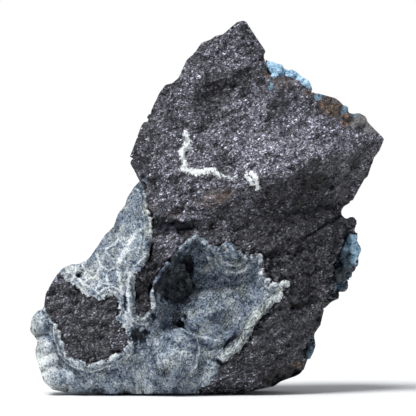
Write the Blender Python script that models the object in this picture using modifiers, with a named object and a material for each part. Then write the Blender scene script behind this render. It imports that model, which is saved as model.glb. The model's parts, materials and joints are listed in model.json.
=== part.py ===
"""A hand specimen of shattuckite with chalcocite, standing on its trimmed base.

A dark, broken mass of chalcocite carries a blue-grey, grape-like shattuckite crust on its lower left
and in the hollow at its front, and small bright blue crusts on its right and back edges.
X runs to the right, Y to the back and Z up. Tables of points are in millimetres.
"""

import math
import random

import bmesh
import bpy
from mathutils import Matrix, Vector
from mathutils.bvhtree import BVHTree

MM = 0.001

# Fineness of the fused shapes and how many triangles each finished piece keeps
ROCK_VOXEL = 0.8
CRUST_VOXEL = 0.65
BLUE_VOXEL = 0.5
ROCK_TRIANGLES = 3300
CRUST_TRIANGLES = 3700
BLUE_TRIANGLES = 300
SEAM_GAP = 0.35
SOCKET_TRIANGLES = 420
SOCKET_GAP = 0.6

# Depth layout, from the most forward ridge to the back
FRONT = -40.0
SHELF = 1.0
POCKET_DEPTH = 5.0
BASE = 0.0

# Broken blocks of the chalcocite, each the hull of its corners (x, y, z)
UPPER_BLOCK = [
    (43.9, -3, 63), (39.4, -7, 62.5), (34.4, -11, 61), (26, -16, 58.5), (19.2, -20, 54), (12, -21.5, 52.8),
    (6, -20.5, 50), (-3, -19, 45), (-13, -15.5, 43.3),
    (-17, -13.5, 59.5), (-19.3, -7, 58.2), (-15.4, -9, 51), (-18.6, -6.5, 56),
    (-16.5, -6.5, 66.5), (-13.3, -5.5, 71.5), (-10.3, -5, 76.3), (-9.6, -10.5, 75.2),
    (14.2, -6.5, 82), (27, -5, 74.6), (33.4, -3.5, 72.6), (40, -2, 68.6), (42, -1, 66.4), (44.4, -1.5, 63.2),
    (42.8, 1, 60.9), (40.2, 1.5, 56.4), (38, 1, 53), (36, 1, 48.5), (33, 1, 45),
    (-14, 8, 58), (-9, 12, 70), (8, 12, 79), (22, 14, 73), (36, 8, 62), (31, 12, 50), (-12, 12, 46),
    (12, 19, 58), (28, -9, 44), (12, -15, 42), (-2, -15, 41),
]
PEAK_BLOCK = [
    (-2.9, -5, 85.7), (-1.7, -4, 86.8), (3.8, -4, 89), (12.5, -3, 88.6), (14.5, -3.5, 84.8), (14.3, -7.5, 81),
    (-5.1, -6, 81.8), (-6.2, -7.5, 79), (4, -12.5, 76), (10, -12, 76), (-4, -11, 76),
    (-4, 5, 82), (2, 8, 86), (8, 7, 88), (11, 8, 83), (-5, 9, 74), (12, 10, 74),
]
TIP_BLOCK = [
    (3.2, -5, 88.4), (7.7, -3.5, 93.1), (9.6, -3, 93), (12.7, -3, 88.6), (6, -8, 84), (8, 5, 88), (3, 3, 86),
]
SHOULDER_BLOCK = [
    (-10.2, -5.5, 76.3), (-7.1, -5.5, 78), (-5.2, -6, 81.6), (0, -12.5, 78), (3, -14.5, 71),
    (-10, -11, 74), (-14, -12, 66), (-4, -15.5, 66), (-8, 6, 74), (0, 8, 78), (4, 2, 82), (-10, 4, 68),
]
MIDDLE_BLOCK = [
    (-15, -13.5, 44), (0, -15.5, 43), (14, -16.5, 45), (28, -12, 44), (33, -7.5, 45.5), (34.4, -6.5, 39.6),
    (33.6, -6, 35.2), (31, -6.5, 29.5), (28.8, -7, 24.5), (18.5, -17.6, 23), (21, -17.5, 31), (5, -17, 38.5),
    (-18, -15, 30), (-18, -15, 19), (-20, -6, 44), (-22, -2, 36),
    (-16, 14, 44), (10, 19, 46), (30, 13, 42), (30, 12, 26), (10, 19, 26), (-18, 15, 24),
]
LOWER_BLOCK = [
    (29.2, -6.5, 26), (28.7, -4, 21.3), (27.5, -3, 17), (26.3, -2, 11.5), (23.8, -3, 8), (23.8, -4.5, 6), (21, -6, 4.3),
    (16.3, -8, 2.6), (10, -11, 0.4), (5.5, -13, 1.4), (2, -14.5, 2.8),
    (18.5, -17.4, 24), (12, -18, 14), (5, -17.5, 8), (19, -14.5, 13), (14, -15, 5), (0, -17, 6),
    (26, 8, 24), (25, 8, 13), (20, 10, 5), (9.5, 13, -0.6), (9, -2, -0.6), (0, 14, -1), (-6, -10, -1),
    (16, 16, 24), (-4, 16, 16),
]
TONGUE_BLOCK = [
    (-19, -17.2, 18.5), (-19, -18.2, 30), (-13, -18, 18.5), (-9.5, -18.2, 33), (-2, -17.6, 41), (-13.5, -15, 42.5),
    (-19, 0, 18), (-10, 0, 18), (-2, 0, 42), (-16, 0, 42),
]
CORE_BLOCK = [
    (-34, -7, 27), (-37, -7, 20), (-36.5, -7, 10), (-31, -7, 3.5), (-24, -9, 1), (-14, -10, -1), (0, -12, -1),
    (-22, -7, 40), (-14, -7, 48), (0, -7, 44),
    (-32, 6, 25), (-35, 5, 16), (-33, 5, 6), (-25, 12, -1), (-6, 15, -1), (-21, 10, 36), (-26, 13, 14),
    (-8, 18, 12), (-10, 17, 34), (2, -8, 2),
]
SIDE_SLAB = [
    (36.2, 1, 44.4), (37.1, 1.5, 43.6), (37, 1, 38), (37.4, 1.5, 32), (36.2, 2, 28), (34.4, 2, 25.2), (31, 2, 23),
    (28.6, 1, 21.5), (33, -3, 45), (26, 4, 20), (29, 12, 24), (33, 11, 30), (33, 12, 40), (30, 8, 46), (24, 3, 36),
]
BACK_BLOCK = [
    (-28, 8, 34), (-33, 8, 20), (-29, 10, 4), (-18, 14, -1), (6.5, 14, -1), (18, 12, 6), (24, 12, 24), (28, 12, 44),
    (-14, 16, 46), (10, 20, 44), (12, 19, 20), (-12, 19, 12), (-24, 2, 30), (-24, 2, 8), (22, 2, 40), (18, 2, 14),
    (-16, 2, 44), (0, 2, 4), (-35, 2, 28), (-37, 2, 20), (-36.5, 2, 12), (-33, 2, 5), (-28, 2, 33),
    (-23, 2, 41.5), (-18, 2, 48), (-16, 2, 52.5),
]
ROCK_BLOCKS = [
    UPPER_BLOCK, PEAK_BLOCK, TIP_BLOCK, SHOULDER_BLOCK, MIDDLE_BLOCK, LOWER_BLOCK, TONGUE_BLOCK, CORE_BLOCK,
    BACK_BLOCK, SIDE_SLAB,
]

# Valleys and clefts broken out of the chalcocite, each the hull of its corners
PEAK_HOLLOW = [
    (16, -9, 84), (13, -11, 78.5), (7, -13.5, 73.5), (-2, -15.5, 69), (-5, -15, 72), (-1, -13, 78), (8, -10, 82),
    (16, -30, 84), (13, -30, 78.5), (7, -30, 73.5), (-2, -30, 69), (-5, -30, 72), (-1, -30, 78), (8, -30, 82),
    (12, -7.4, 80.5), (5, -9.2, 76.5), (0, -10.4, 73.2),
]
SIDE_CLEFT = [
    (37.6, -3, 41.6), (40, -20, 38), (40, -20, 30), (27.5, -20, 22.5), (29.2, -20, 25.6), (34.2, -20, 38.5),
    (36.6, -2, 33), (35.5, 1, 37), (34, 1.5, 31), (30, -1, 24.5), (33.2, 3, 33.5), (28.2, -4, 23.2), (35.4, -1, 40.8),
]
NOTCH = [
    (44, -30, 49), (44, 20, 49), (33, -14, 45.6), (33, 20, 45.6), (35.4, -14, 43.8), (35.4, 20, 43.8),
    (44, -30, 44.6), (44, 20, 44.6), (34.6, -14, 47.2), (34.6, 20, 47.2),
]
ROCK_HOLLOWS = [PEAK_HOLLOW, SIDE_CLEFT, NOTCH]

# Where the crust meets the chalcocite on the front, from the upper block down round the dark tongue,
# over the hollow and down its right rim to the base: (x, depth of the rim, z)
CRUST_EDGE = [
    (-16.3, -6, 53.4), (-15.2, -9, 49.5), (-15, -12.5, 46.5), (-13.7, -14.5, 43), (-13.8, -16, 40), (-14.3, -16.8, 37),
    (-14.8, -17.2, 34), (-16, -17.6, 31.8), (-17.8, -17.9, 30), (-18.4, -18, 27.5), (-18.2, -18, 23.5),
    (-18, -17.8, 20.8), (-17, -17.5, 19.4), (-15.6, -17.2, 19.6), (-14.1, -17.2, 21.3), (-13.9, -17.3, 23.6),
    (-14.2, -17.5, 25.4), (-13.6, -17.6, 27.4), (-12.5, -17.7, 29.8), (-10.7, -17.7, 32), (-8.2, -17.5, 35.3),
    (-5.6, -17, 37.8), (-3, -16.4, 40), (-1.2, -16.4, 38.5), (0.4, -16.5, 37), (2.4, -16.6, 36.4), (4.3, -16.7, 37.8),
    (6.1, -16.8, 37.4), (7.1, -16.9, 35.3), (9, -17, 34.2), (11.2, -17, 34.8), (13.1, -17, 35.2), (13.4, -17.1, 32.8),
    (13.8, -17.2, 30.6), (15.3, -17.3, 27.8), (18, -17.2, 28), (20, -16.9, 28.5), (18.8, -17.3, 26),
    (17.9, -17.5, 24.2), (15.8, -17.7, 22.6), (14.5, -17.8, 20.8), (12.7, -17.8, 19.2), (11, -17.8, 17.2),
    (9.9, -17.7, 14.7), (8.6, -17.6, 12.7), (7.6, -17.5, 11.1), (5.6, -17.3, 10.2), (2.9, -17, 8), (1.9, -16.6, 5.4),
    (-0.2, -16, 3.6), (-2.4, -15, 1.8),
]
EDGE_OUTSIDE = [(-3, -12), (-60, -12), (-60, 26)]

# The chalcocite nodule that breaks through the crust at the lower left: (x, z)
NODULE_OUTLINE = [
    (-36.9, 29.8), (-35, 28.7), (-32.4, 26.9), (-30.6, 25.3), (-28.7, 24.2), (-26.7, 23.6), (-25.1, 24.6),
    (-23.3, 25), (-22.1, 23.6), (-21.8, 21.4), (-22.5, 19.5), (-21.4, 18), (-20, 16.1), (-19.9, 13.5), (-20.8, 11.4),
    (-22.9, 10.3), (-24.8, 9.2), (-26.9, 8.5), (-29.1, 7.8), (-31.4, 8.5), (-33.9, 9.6), (-35.3, 11.7), (-36.1, 14.2),
    (-36.5, 16.1), (-37.7, 18.2), (-39.6, 19.8), (-40.1, 22), (-39.7, 25.3), (-38.6, 27.6),
]
NODULE_FACE = {"centre": (-29, 17), "y": -17.4, "lean_x": -0.26, "lean_z": 0.05}
NODULE_BACK = -9.0
ROOT_OUTLINE = [
    (-35, 23.5), (-30, 21.5), (-24.5, 20.5), (-22.8, 14.5), (-26, 11.5), (-31, 11.5), (-33.5, 14.5), (-35.8, 20),
]
COLLAR_LEFT_LIMIT = -37.2

# Sloping bodies of the crust, each the hull of its corners
CRUST_BODIES = [
    [(-16, -7, 53), (-19.8, -3, 49), (-23.2, -2, 43), (-17, -11.5, 46), (-14, -14.5, 40), (-21, -12, 41),
     (-14, -5, 44), (-19.5, 3, 48.5), (-13, -5, 50), (-24, 3, 41.5), (-13, 3, 50), (-13, 3, 40)],
    [(-23, -2, 42.5), (-26.5, -3, 36), (-29.4, -3.5, 32.6), (-33, -4, 31.8), (-36, -6, 31), (-38, -8, 29.5),
     (-20, -17, 34.5), (-21.5, -17.2, 28), (-14.5, -16.2, 38), (-36, -13.5, 29), (-26, -14.5, 25.5), (-22, -16.4, 24),
     (-14, -12.5, 42), (-28.8, 3, 33), (-36.4, 3, 29), (-13, 3, 40),
     (-13, 3, 26), (-24, 3, 41.5), (-38.2, 3, 22), (-22, -6, 22)],
    [(-22, -17.6, 34.5), (-18, -17.6, 37.5), (-21.6, -17.9, 26), (-19, -17.6, 18), (-18.4, -17.8, 28), (-14.6, -16.6, 37),
     (-14, 4, 38), (-20, 4, 17), (-24, 4, 30)],
    [(-39.5, -12, 22), (-38, -14.5, 17), (-34.5, -15.8, 10), (-28, -16.8, 5.5), (-20, -17, 8), (-14, -17, 18),
     (-22, -17.2, 18), (-24, -17, 26), (-34, -15, 28), (-40.5, -8, 24), (-41, -6, 16), (-39, -5, 9), (-33, -5, 3.5),
     (-20, -6, 2), (-37, 3, 28), (-38.4, 3, 21), (-38, 3, 12), (-34.5, 3, 4.5), (-18, 3, 26), (-14, 3, 12)],
    [(-36, -13, 5), (-28, -15.5, 3), (-16, -16, 1.5), (-4, -15, 1.5), (0, -15, 5), (4, -15.8, 9), (-4, -16, 16),
     (-16, -16.5, 20), (-30, -15.5, 10), (-38, -5, 6), (-34, 4, 4), (-12, -5, -1), (-3, -5, -1), (-24, 4, -1),
     (0, 4, -1), (0, 4, 20), (-30, 4, 20)],
    [(-14, -16.6, 22), (-10.5, -17, 32), (-3, -16, 39.5), (6, -16.4, 37), (13, -16.6, 34.5), (14, -16.8, 30),
     (19.5, -16.6, 28.3), (15, -17.2, 22), (9, -17.2, 14), (2, -16.4, 7), (-8, -16, 16), (-14, -16.5, 18),
     (-13, 4.5, 20), (-10, 4.5, 32), (-2, 4.5, 37), (12, 4.5, 33), (16, 3, 27), (10, 3, 16), (0, 2, 8), (-12, 3, 14)],
]
# Part of the crust that fills the pocket in the chalcocite, seen from the front: (x, z)
POCKET_OUTLINE = [
    (-12.5, 20), (-12.4, 25), (-10.8, 30.4), (-6.2, 36), (-3, 38.6), (1, 35.8), (6, 36), (12, 33.6), (12.6, 30),
    (15, 26.8), (16.4, 24), (12.6, 20.6), (9.6, 16.4), (7.2, 12.6), (2, 9.6), (-6, 12), (-11, 15),
]

# Bowls of the open hollow: centre and radii
HOLLOW_BOWLS = [
    ((-2.2, -17, 27.9), (8.6, 10.5, 8.8)),
    ((4.6, -17.5, 29.2), (8.5, 7.2, 6.3)),
    ((-7.6, -8, 27.6), (4.1, 9.2, 5.2)),
    ((3, -17, 20.8), (8, 5.8, 6.6)),
    ((-9, -18, 20.5), (4, 6.4, 6)),
    ((-3.2, -14.5, 34.8), (2.2, 5, 3.4)),
    ((12.2, -17.5, 26.4), (3, 3.4, 2.4)),
    ((-6.8, -14, 17.4), (1.8, 4.6, 2.2)),
]
# Round domes of the crust, from the hollow outward: centre and radii
DOMES = [
    ((1.2, -6.6, 20.6), (7.6, 8, 6.4)),
    ((0.8, -6, 30.4), (5.6, 4.4, 4.2)),
    ((-9, -13.4, 9.4), (6.2, 7.8, 5.8)),
    ((-9.4, -17.4, 13.6), (2.4, 3, 2.2)),
    ((-5.8, -17.2, 13), (2.6, 3, 2.4)),
    ((-5, -17.6, 10), (2.6, 3, 2.6)),
    ((-12.2, -17, 10.4), (2.8, 3.2, 2.8)),
    ((-12.4, -16.2, 6.8), (2.8, 3.4, 2.6)),
    ((-8.6, -17.4, 6), (2.8, 3.4, 2.6)),
    ((-41.2, -8, 17.6), (2.8, 4.6, 3)),
    ((-40.2, -7.4, 12), (3, 5.4, 3.1)),
    ((-39.2, -7.6, 7.6), (3, 5.6, 2.9)),
    ((-37, -8, 4.4), (3.6, 6, 3.2)),
    ((-31.5, -9.5, 4.2), (4.8, 6.2, 3.9)),
    ((-24.4, -10.2, 3.6), (4.6, 6.4, 3.4)),
    ((-16.6, -9.8, 3.2), (5, 6.8, 3.1)),
    ((-31.6, -10.6, 29), (2.6, 3.6, 2.2)),
    ((-28, -12, 28.2), (2.5, 3.4, 2.2)),
    ((-24.6, -13.4, 28.6), (2.8, 3.4, 2.5)),
    ((-26, -13.4, 25.6), (2.6, 3, 1.8)),
    ((-34.6, -9.5, 29.8), (2.4, 3.4, 1.9)),
    ((-17, -13.6, 34.6), (2.7, 4.2, 3.9)),
    ((-25, -9.4, 32), (2.8, 4.6, 3.2)),
    ((-20.4, -6, 41), (2.9, 6, 4.6)),
]
SMALL_LUMPS = 170
SMALL_LUMP_RADII = (0.9, 1.9)
LUMP_SEED = 11
LUMP_FACING = -0.45

# Bright blue crusts on the right and back edges: centre and radii
BLUE_TOP_LUMPS = [
    ((15.9, -1.5, 81.2), (1.6, 3, 1.6)), ((17.6, -1.5, 80.8), (1.9, 3.2, 1.9)), ((16.6, -3.6, 78.6), (1.5, 2.4, 2.2)),
    ((20.2, -0.5, 79.4), (2, 3.4, 1.5)), ((22.4, 0, 77.9), (1.9, 3.4, 1.5)), ((24.2, 0, 76.6), (1.7, 3.2, 1.2)),
    ((19, 5, 76.6), (3.4, 4, 3)), ((23, 8, 72.6), (3.8, 4.4, 3.4)), ((18, 11, 72), (4.2, 4, 4.2)),
    ((22, 14, 66), (4.4, 3.4, 4.8)), ((15.5, 15, 66.5), (3.8, 3, 4)), ((26.6, 12, 67), (3, 3.4, 3.8)),
    ((18.6, 16.6, 60.5), (3.8, 2.6, 4)),
]
BLUE_SIDE_LUMPS = [
    ((35.9, -1.4, 37.9), (1.2, 2.4, 2)), ((36.5, 0, 36.2), (1.2, 2.8, 1.6)), ((36, -1.6, 34.7), (1.1, 2.2, 2.2)),
    ((35.2, -0.2, 36.2), (1.6, 2.6, 2.4)), ((34.4, 0.4, 32.8), (1.6, 2.4, 2.2)), ((32.6, 0, 29.8), (1.7, 2.6, 2)),
    ((36.8, 4.6, 34.6), (1.8, 3.4, 3.6)), ((35.4, 8.2, 35.6), (2, 3.4, 4)),
]
BLUE_LOW_LUMPS = [
    ((26, -2.4, 14.4), (1.1, 2.8, 1.5)), ((25.4, -2.2, 11.8), (1.4, 3, 1.6)), ((24.8, -3.6, 9.6), (1.5, 2.6, 1.2)),
    ((25.4, 2, 12.4), (1.9, 3.6, 2.6)), ((25, 6, 13.4), (2, 3.4, 3)),
]
BLUE_CRUSTS = {
    "blue_crust_top": BLUE_TOP_LUMPS,
    "blue_crust_side": BLUE_SIDE_LUMPS,
    "blue_crust_low": BLUE_LOW_LUMPS,
}

COLOURS = {
    "chalcocite": (0.055, 0.054, 0.062),
    "shattuckite_crust": (0.23, 0.27, 0.33),
    "bright_blue": (0.28, 0.52, 0.68),
}


def new_collection(name):
    collection = bpy.data.collections.new(name)
    bpy.context.scene.collection.children.link(collection)
    return collection


def clear_scene():
    for old in list(bpy.data.objects):
        bpy.data.objects.remove(old)


def workshop_object(name, bm):
    """A helper mesh from bm, kept out of the finished specimen."""
    mesh = bpy.data.meshes.new(name)
    bm.to_mesh(mesh)
    bm.free()
    helper = bpy.data.objects.new(name, mesh)
    helper.hide_render = True
    helper.display_type = "WIRE"
    bpy.data.collections["workshop"].objects.link(helper)
    return helper


def hull(name, corners):
    """The convex block with these corners, as a clean break leaves it."""
    bm = bmesh.new()
    for corner in corners:
        bm.verts.new(Vector(corner) * MM)
    made = bmesh.ops.convex_hull(bm, input=bm.verts)
    spare = {v for v in made["geom_interior"] + made["geom_unused"] if isinstance(v, bmesh.types.BMVert)}
    bmesh.ops.delete(bm, geom=list(spare), context="VERTS")
    bmesh.ops.recalc_face_normals(bm, faces=bm.faces)
    return workshop_object(name, bm)


def ellipsoids(name, shapes, subdivisions=3):
    """One mesh of round lumps, each given by its centre and radii."""
    bm = bmesh.new()
    for centre, radii in shapes:
        place = Matrix.Translation(Vector(centre) * MM) @ Matrix.Diagonal((*[r * MM for r in radii], 1))
        bmesh.ops.create_icosphere(bm, subdivisions=subdivisions, radius=1, matrix=place)
    return workshop_object(name, bm)


def settle(shape):
    """Turns the object's modifiers into its mesh."""
    graph = bpy.context.evaluated_depsgraph_get()
    mesh = bpy.data.meshes.new_from_object(shape.evaluated_get(graph), depsgraph=graph)
    shape.modifiers.clear()
    shape.data = mesh
    return shape


def mesh_of_curve(curve_object):
    """A welded mesh helper in place of a curve helper."""
    graph = bpy.context.evaluated_depsgraph_get()
    mesh = bpy.data.meshes.new_from_object(curve_object.evaluated_get(graph), depsgraph=graph)
    bm = bmesh.new()
    bm.from_mesh(mesh)
    bm.transform(curve_object.matrix_world)
    bmesh.ops.remove_doubles(bm, verts=bm.verts, dist=0.00001)
    bmesh.ops.recalc_face_normals(bm, faces=bm.faces)
    name = curve_object.name
    bpy.data.objects.remove(curve_object)
    return workshop_object(name, bm)


def prism(name, outline, y_front, y_back):
    """A front-view outline (x, z) carried straight back from y_front to y_back."""
    curve = bpy.data.curves.new(name, "CURVE")
    curve.dimensions = "2D"
    curve.fill_mode = "BOTH"
    curve.extrude = (y_back - y_front) / 2 * MM
    spline = curve.splines.new("POLY")
    spline.points.add(len(outline) - 1)
    for point, (x, z) in zip(spline.points, outline):
        point.co = (x * MM, z * MM, 0, 1)
    spline.use_cyclic_u = True
    holder = bpy.data.objects.new(name, curve)
    holder.rotation_euler = (math.pi / 2, 0, 0)
    holder.location = (0, (y_front + y_back) / 2 * MM, 0)
    bpy.data.collections["workshop"].objects.link(holder)
    bpy.context.view_layer.update()
    return mesh_of_curve(holder)


def rim(name, path, radius, closed=False):
    """A raised welt of the crust that follows the path."""
    curve = bpy.data.curves.new(name, "CURVE")
    curve.dimensions = "3D"
    curve.bevel_depth = radius * MM
    curve.bevel_resolution = 2
    curve.use_fill_caps = not closed
    spline = curve.splines.new("POLY")
    spline.points.add(len(path) - 1)
    for point, place in zip(spline.points, path):
        point.co = (*(Vector(place) * MM), 1)
    spline.use_cyclic_u = closed
    holder = bpy.data.objects.new(name, curve)
    bpy.data.collections["workshop"].objects.link(holder)
    bpy.context.view_layer.update()
    return mesh_of_curve(holder)


def gather(name, shapes):
    """All the shapes in one mesh, still overlapping."""
    bm = bmesh.new()
    for shape in shapes:
        bm.from_mesh(shape.data)
        bpy.data.objects.remove(shape)
    return workshop_object(name, bm)


def fuse(shape, voxel):
    """Joins overlapping shapes into one skin."""
    skin = shape.modifiers.new("fuse", "REMESH")
    skin.mode = "VOXEL"
    skin.voxel_size = voxel * MM
    return settle(shape)


def roughen(shape, kind, size, depth):
    """Raises and sinks the surface by a cloudy or cellular pattern of this size."""
    texture = bpy.data.textures.new(f"{shape.name}_{kind.lower()}", kind)
    texture.noise_scale = size * MM
    relief = shape.modifiers.new("relief", "DISPLACE")
    relief.texture = texture
    relief.texture_coords = "LOCAL"
    relief.strength = depth * MM
    relief.mid_level = 0.5
    return settle(shape)


def thin_out(shape, triangles):
    """Leaves about this many triangles, fewest where the surface is flat."""
    shape.data.calc_loop_triangles()
    collapse = shape.modifiers.new("thin", "DECIMATE")
    collapse.ratio = min(1.0, triangles / len(shape.data.loop_triangles))
    return settle(shape)


def combine(shape, tool, operation):
    """Cuts the tool from the shape, or joins it on, and removes the tool."""
    cut = shape.modifiers.new(operation.lower(), "BOOLEAN")
    cut.operation = operation
    cut.solver = "EXACT"
    cut.object = tool
    bpy.context.view_layer.update()
    settle(shape)
    bpy.data.objects.remove(tool)
    return shape


def offset_outline(outline, distance):
    """The closed outline moved outward by the distance, or inward when it is negative."""
    points = [Vector(point) for point in outline]
    turn = sum(a.x * b.y - b.x * a.y for a, b in zip(points, points[1:] + points[:1]))
    side = 1 if turn > 0 else -1
    moved = []
    for before, here, after in zip(points[-1:] + points[:-1], points, points[1:] + points[:1]):
        along, onward = (here - before).normalized(), (after - here).normalized()
        first, second = Vector((along.y, -along.x)), Vector((onward.y, -onward.x))
        mitre = (first + second).normalized()
        reach = distance / max(0.5, mitre.dot(first))
        moved.append(tuple(here + mitre * reach * side))
    return moved


def keep_largest(shape):
    """Drops the crumbs that a cut leaves loose."""
    bm = bmesh.new()
    bm.from_mesh(shape.data)
    left = set(bm.verts)
    islands = []
    while left:
        island, front = set(), [left.pop()]
        while front:
            vert = front.pop()
            island.add(vert)
            near = {edge.other_vert(vert) for edge in vert.link_edges} & left
            left -= near
            front.extend(near)
        islands.append(island)
    islands.sort(key=len)
    crumbs = [vert for island in islands[:-1] for vert in island]
    bmesh.ops.delete(bm, geom=crumbs, context="VERTS")
    bmesh.ops.triangulate(bm, faces=bm.faces)
    bm.to_mesh(shape.data)
    bm.free()
    return shape


def trim_base(shape):
    """Saws the shape off flat at the surface it stands on."""
    slab = bmesh.new()
    bmesh.ops.create_cube(slab, size=0.3, matrix=Matrix.Translation((0, 0, BASE * MM - 0.15)))
    return combine(shape, workshop_object("saw", slab), "DIFFERENCE")


def nodule(swelling=0.0):
    """The dark nodule on its narrower root, or a cutter that stands off both."""
    block = prism("nodule", offset_outline(NODULE_OUTLINE, swelling), -24, NODULE_BACK + swelling)
    root = prism("root", offset_outline(ROOT_OUTLINE, swelling), -15, SHELF + 2)
    combine(block, root, "UNION")
    if swelling:
        return block
    face = NODULE_FACE
    for vert in block.data.vertices:
        if vert.co.y < -0.02:
            across = vert.co.x / MM - face["centre"][0]
            up = vert.co.z / MM - face["centre"][1]
            vert.co.y = (face["y"] + face["lean_x"] * across + face["lean_z"] * up) * MM
    return block


def crust_space(gap):
    """The room cut in the chalcocite for the crust, less a gap all round it."""
    front = offset_outline([(x, z) for x, _, z in CRUST_EDGE] + EDGE_OUTSIDE, -gap)
    space = prism("crust_side", front, FRONT, SHELF - gap)
    pocket = prism("pocket", offset_outline(POCKET_OUTLINE, -gap), FRONT + 1, POCKET_DEPTH - gap)
    return combine(space, pocket, "UNION")


def make_chalcocite():
    blocks = [hull(f"block_{n}", corners) for n, corners in enumerate(ROCK_BLOCKS)]
    rock = fuse(gather("chalcocite_mass", blocks), ROCK_VOXEL)
    for n, corners in enumerate(ROCK_HOLLOWS):
        combine(rock, hull(f"hollow_{n}", corners), "DIFFERENCE")
    fuse(rock, ROCK_VOXEL)
    roughen(rock, "CLOUDS", 11, 2.4)
    roughen(rock, "VORONOI", 5, 1.3)
    thin_out(rock, ROCK_TRIANGLES)
    trim_base(rock)
    combine(rock, crust_space(0.0), "DIFFERENCE")
    combine(rock, nodule(), "UNION")
    for lumps in BLUE_CRUSTS.values():
        swollen = [(centre, [radius + SOCKET_GAP for radius in radii]) for centre, radii in lumps]
        socket = thin_out(fuse(ellipsoids("socket", swollen), BLUE_VOXEL), SOCKET_TRIANGLES)
        combine(rock, socket, "DIFFERENCE")
    return keep_largest(rock)


def scatter_lumps(crust):
    """Small grape-like lumps, part sunk in the front of the crust."""
    rng = random.Random(LUMP_SEED)
    tree = BVHTree.FromPolygons(
        [v.co.copy() for v in crust.data.vertices], [list(p.vertices) for p in crust.data.polygons]
    )
    lumps = []
    while len(lumps) < SMALL_LUMPS:
        x, z = rng.uniform(-43, 18), rng.uniform(0, 52)
        place, normal, _, _ = tree.ray_cast(Vector((x * MM, FRONT * MM, z * MM)), Vector((0, 1, 0)))
        if place is None or normal.y > LUMP_FACING:
            continue
        radius = rng.uniform(*SMALL_LUMP_RADII)
        centre = place / MM - normal * radius * 0.45
        lumps.append((centre, (radius, radius, radius)))
    return ellipsoids("small_lumps", lumps, subdivisions=2)


def nodule_collar():
    """The welt of crust round the nodule, missing on its outer left edge."""
    face = NODULE_FACE
    path = []
    start = next(n for n, (x, _) in enumerate(NODULE_OUTLINE) if x > COLLAR_LEFT_LIMIT)
    for x, z in NODULE_OUTLINE[start:]:
        if x < COLLAR_LEFT_LIMIT:
            break
        y = face["y"] + face["lean_x"] * (x - face["centre"][0]) + face["lean_z"] * (z - face["centre"][1])
        path.append((x, y + 0.9, z))
    return rim("nodule_collar", path, 1.5)


def make_shattuckite():
    bodies = [hull(f"crust_body_{n}", corners) for n, corners in enumerate(CRUST_BODIES)]
    crust = fuse(gather("shattuckite_crust", bodies), CRUST_VOXEL)
    combine(crust, fuse(ellipsoids("bowls", HOLLOW_BOWLS), CRUST_VOXEL), "DIFFERENCE")
    domes = ellipsoids("domes", DOMES)
    welts = [rim("edge_welt", CRUST_EDGE, 1.1), nodule_collar()]
    crust = fuse(gather("shattuckite_crust", [crust, domes, *welts]), CRUST_VOXEL)
    crust = fuse(gather("shattuckite_crust", [crust, scatter_lumps(crust)]), CRUST_VOXEL)
    roughen(crust, "CLOUDS", 6, 1.2)
    thin_out(crust, CRUST_TRIANGLES)
    trim_base(crust)
    combine(crust, crust_space(SEAM_GAP), "INTERSECT")
    combine(crust, nodule(SEAM_GAP), "DIFFERENCE")
    return keep_largest(crust)


def make_blue_crust(name, lumps):
    crust = fuse(ellipsoids(name, lumps), BLUE_VOXEL)
    return thin_out(crust, BLUE_TRIANGLES)


def stand_on_origin(shapes):
    """Moves the specimen so that the middle of its base is at the origin."""
    spots = [vert.co for shape in shapes for vert in shape.data.vertices]
    middle = [(min(spot[n] for spot in spots) + max(spot[n] for spot in spots)) / 2 for n in range(2)]
    for shape in shapes:
        shape.data.transform(Matrix.Translation((-middle[0], -middle[1], 0)))


def finish(shape, colour, roughness, metallic):
    """Shows the piece as part of the specimen, in its own finish."""
    material = bpy.data.materials.new(colour)
    material.use_nodes = True
    shader = material.node_tree.nodes["Principled BSDF"]
    shader.inputs["Base Color"].default_value = (*COLOURS[colour], 1)
    shader.inputs["Roughness"].default_value = roughness
    shader.inputs["Metallic"].default_value = metallic
    shape.data.materials.clear()
    shape.data.materials.append(material)
    shape.hide_render = False
    shape.display_type = "TEXTURED"
    bpy.data.collections["workshop"].objects.unlink(shape)
    bpy.data.collections["shattuckite_with_chalcocite"].objects.link(shape)


def main():
    clear_scene()
    new_collection("shattuckite_with_chalcocite")
    new_collection("workshop")
    rock = make_chalcocite()
    crust = make_shattuckite()
    blues = [make_blue_crust(name, lumps) for name, lumps in BLUE_CRUSTS.items()]
    stand_on_origin([rock, crust, *blues])
    finish(rock, "chalcocite", 0.45, 0.6)
    finish(crust, "shattuckite_crust", 0.6, 0.0)
    for blue in blues:
        finish(blue, "bright_blue", 0.6, 0.0)


main()
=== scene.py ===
"""Looks of the shattuckite with chalcocite specimen.

The dark chalcocite, the blue-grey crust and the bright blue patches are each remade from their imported
solids as finer meshes, with the grain, lumps, rims and veins of the real surface, and coloured by
procedural materials. Tables of points are in millimetres, measured on the face that the camera sees.
"""

import json
import math
from types import SimpleNamespace

import bmesh
import bpy
import numpy as np
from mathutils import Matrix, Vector, noise
from mathutils.bvhtree import BVHTree

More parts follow.
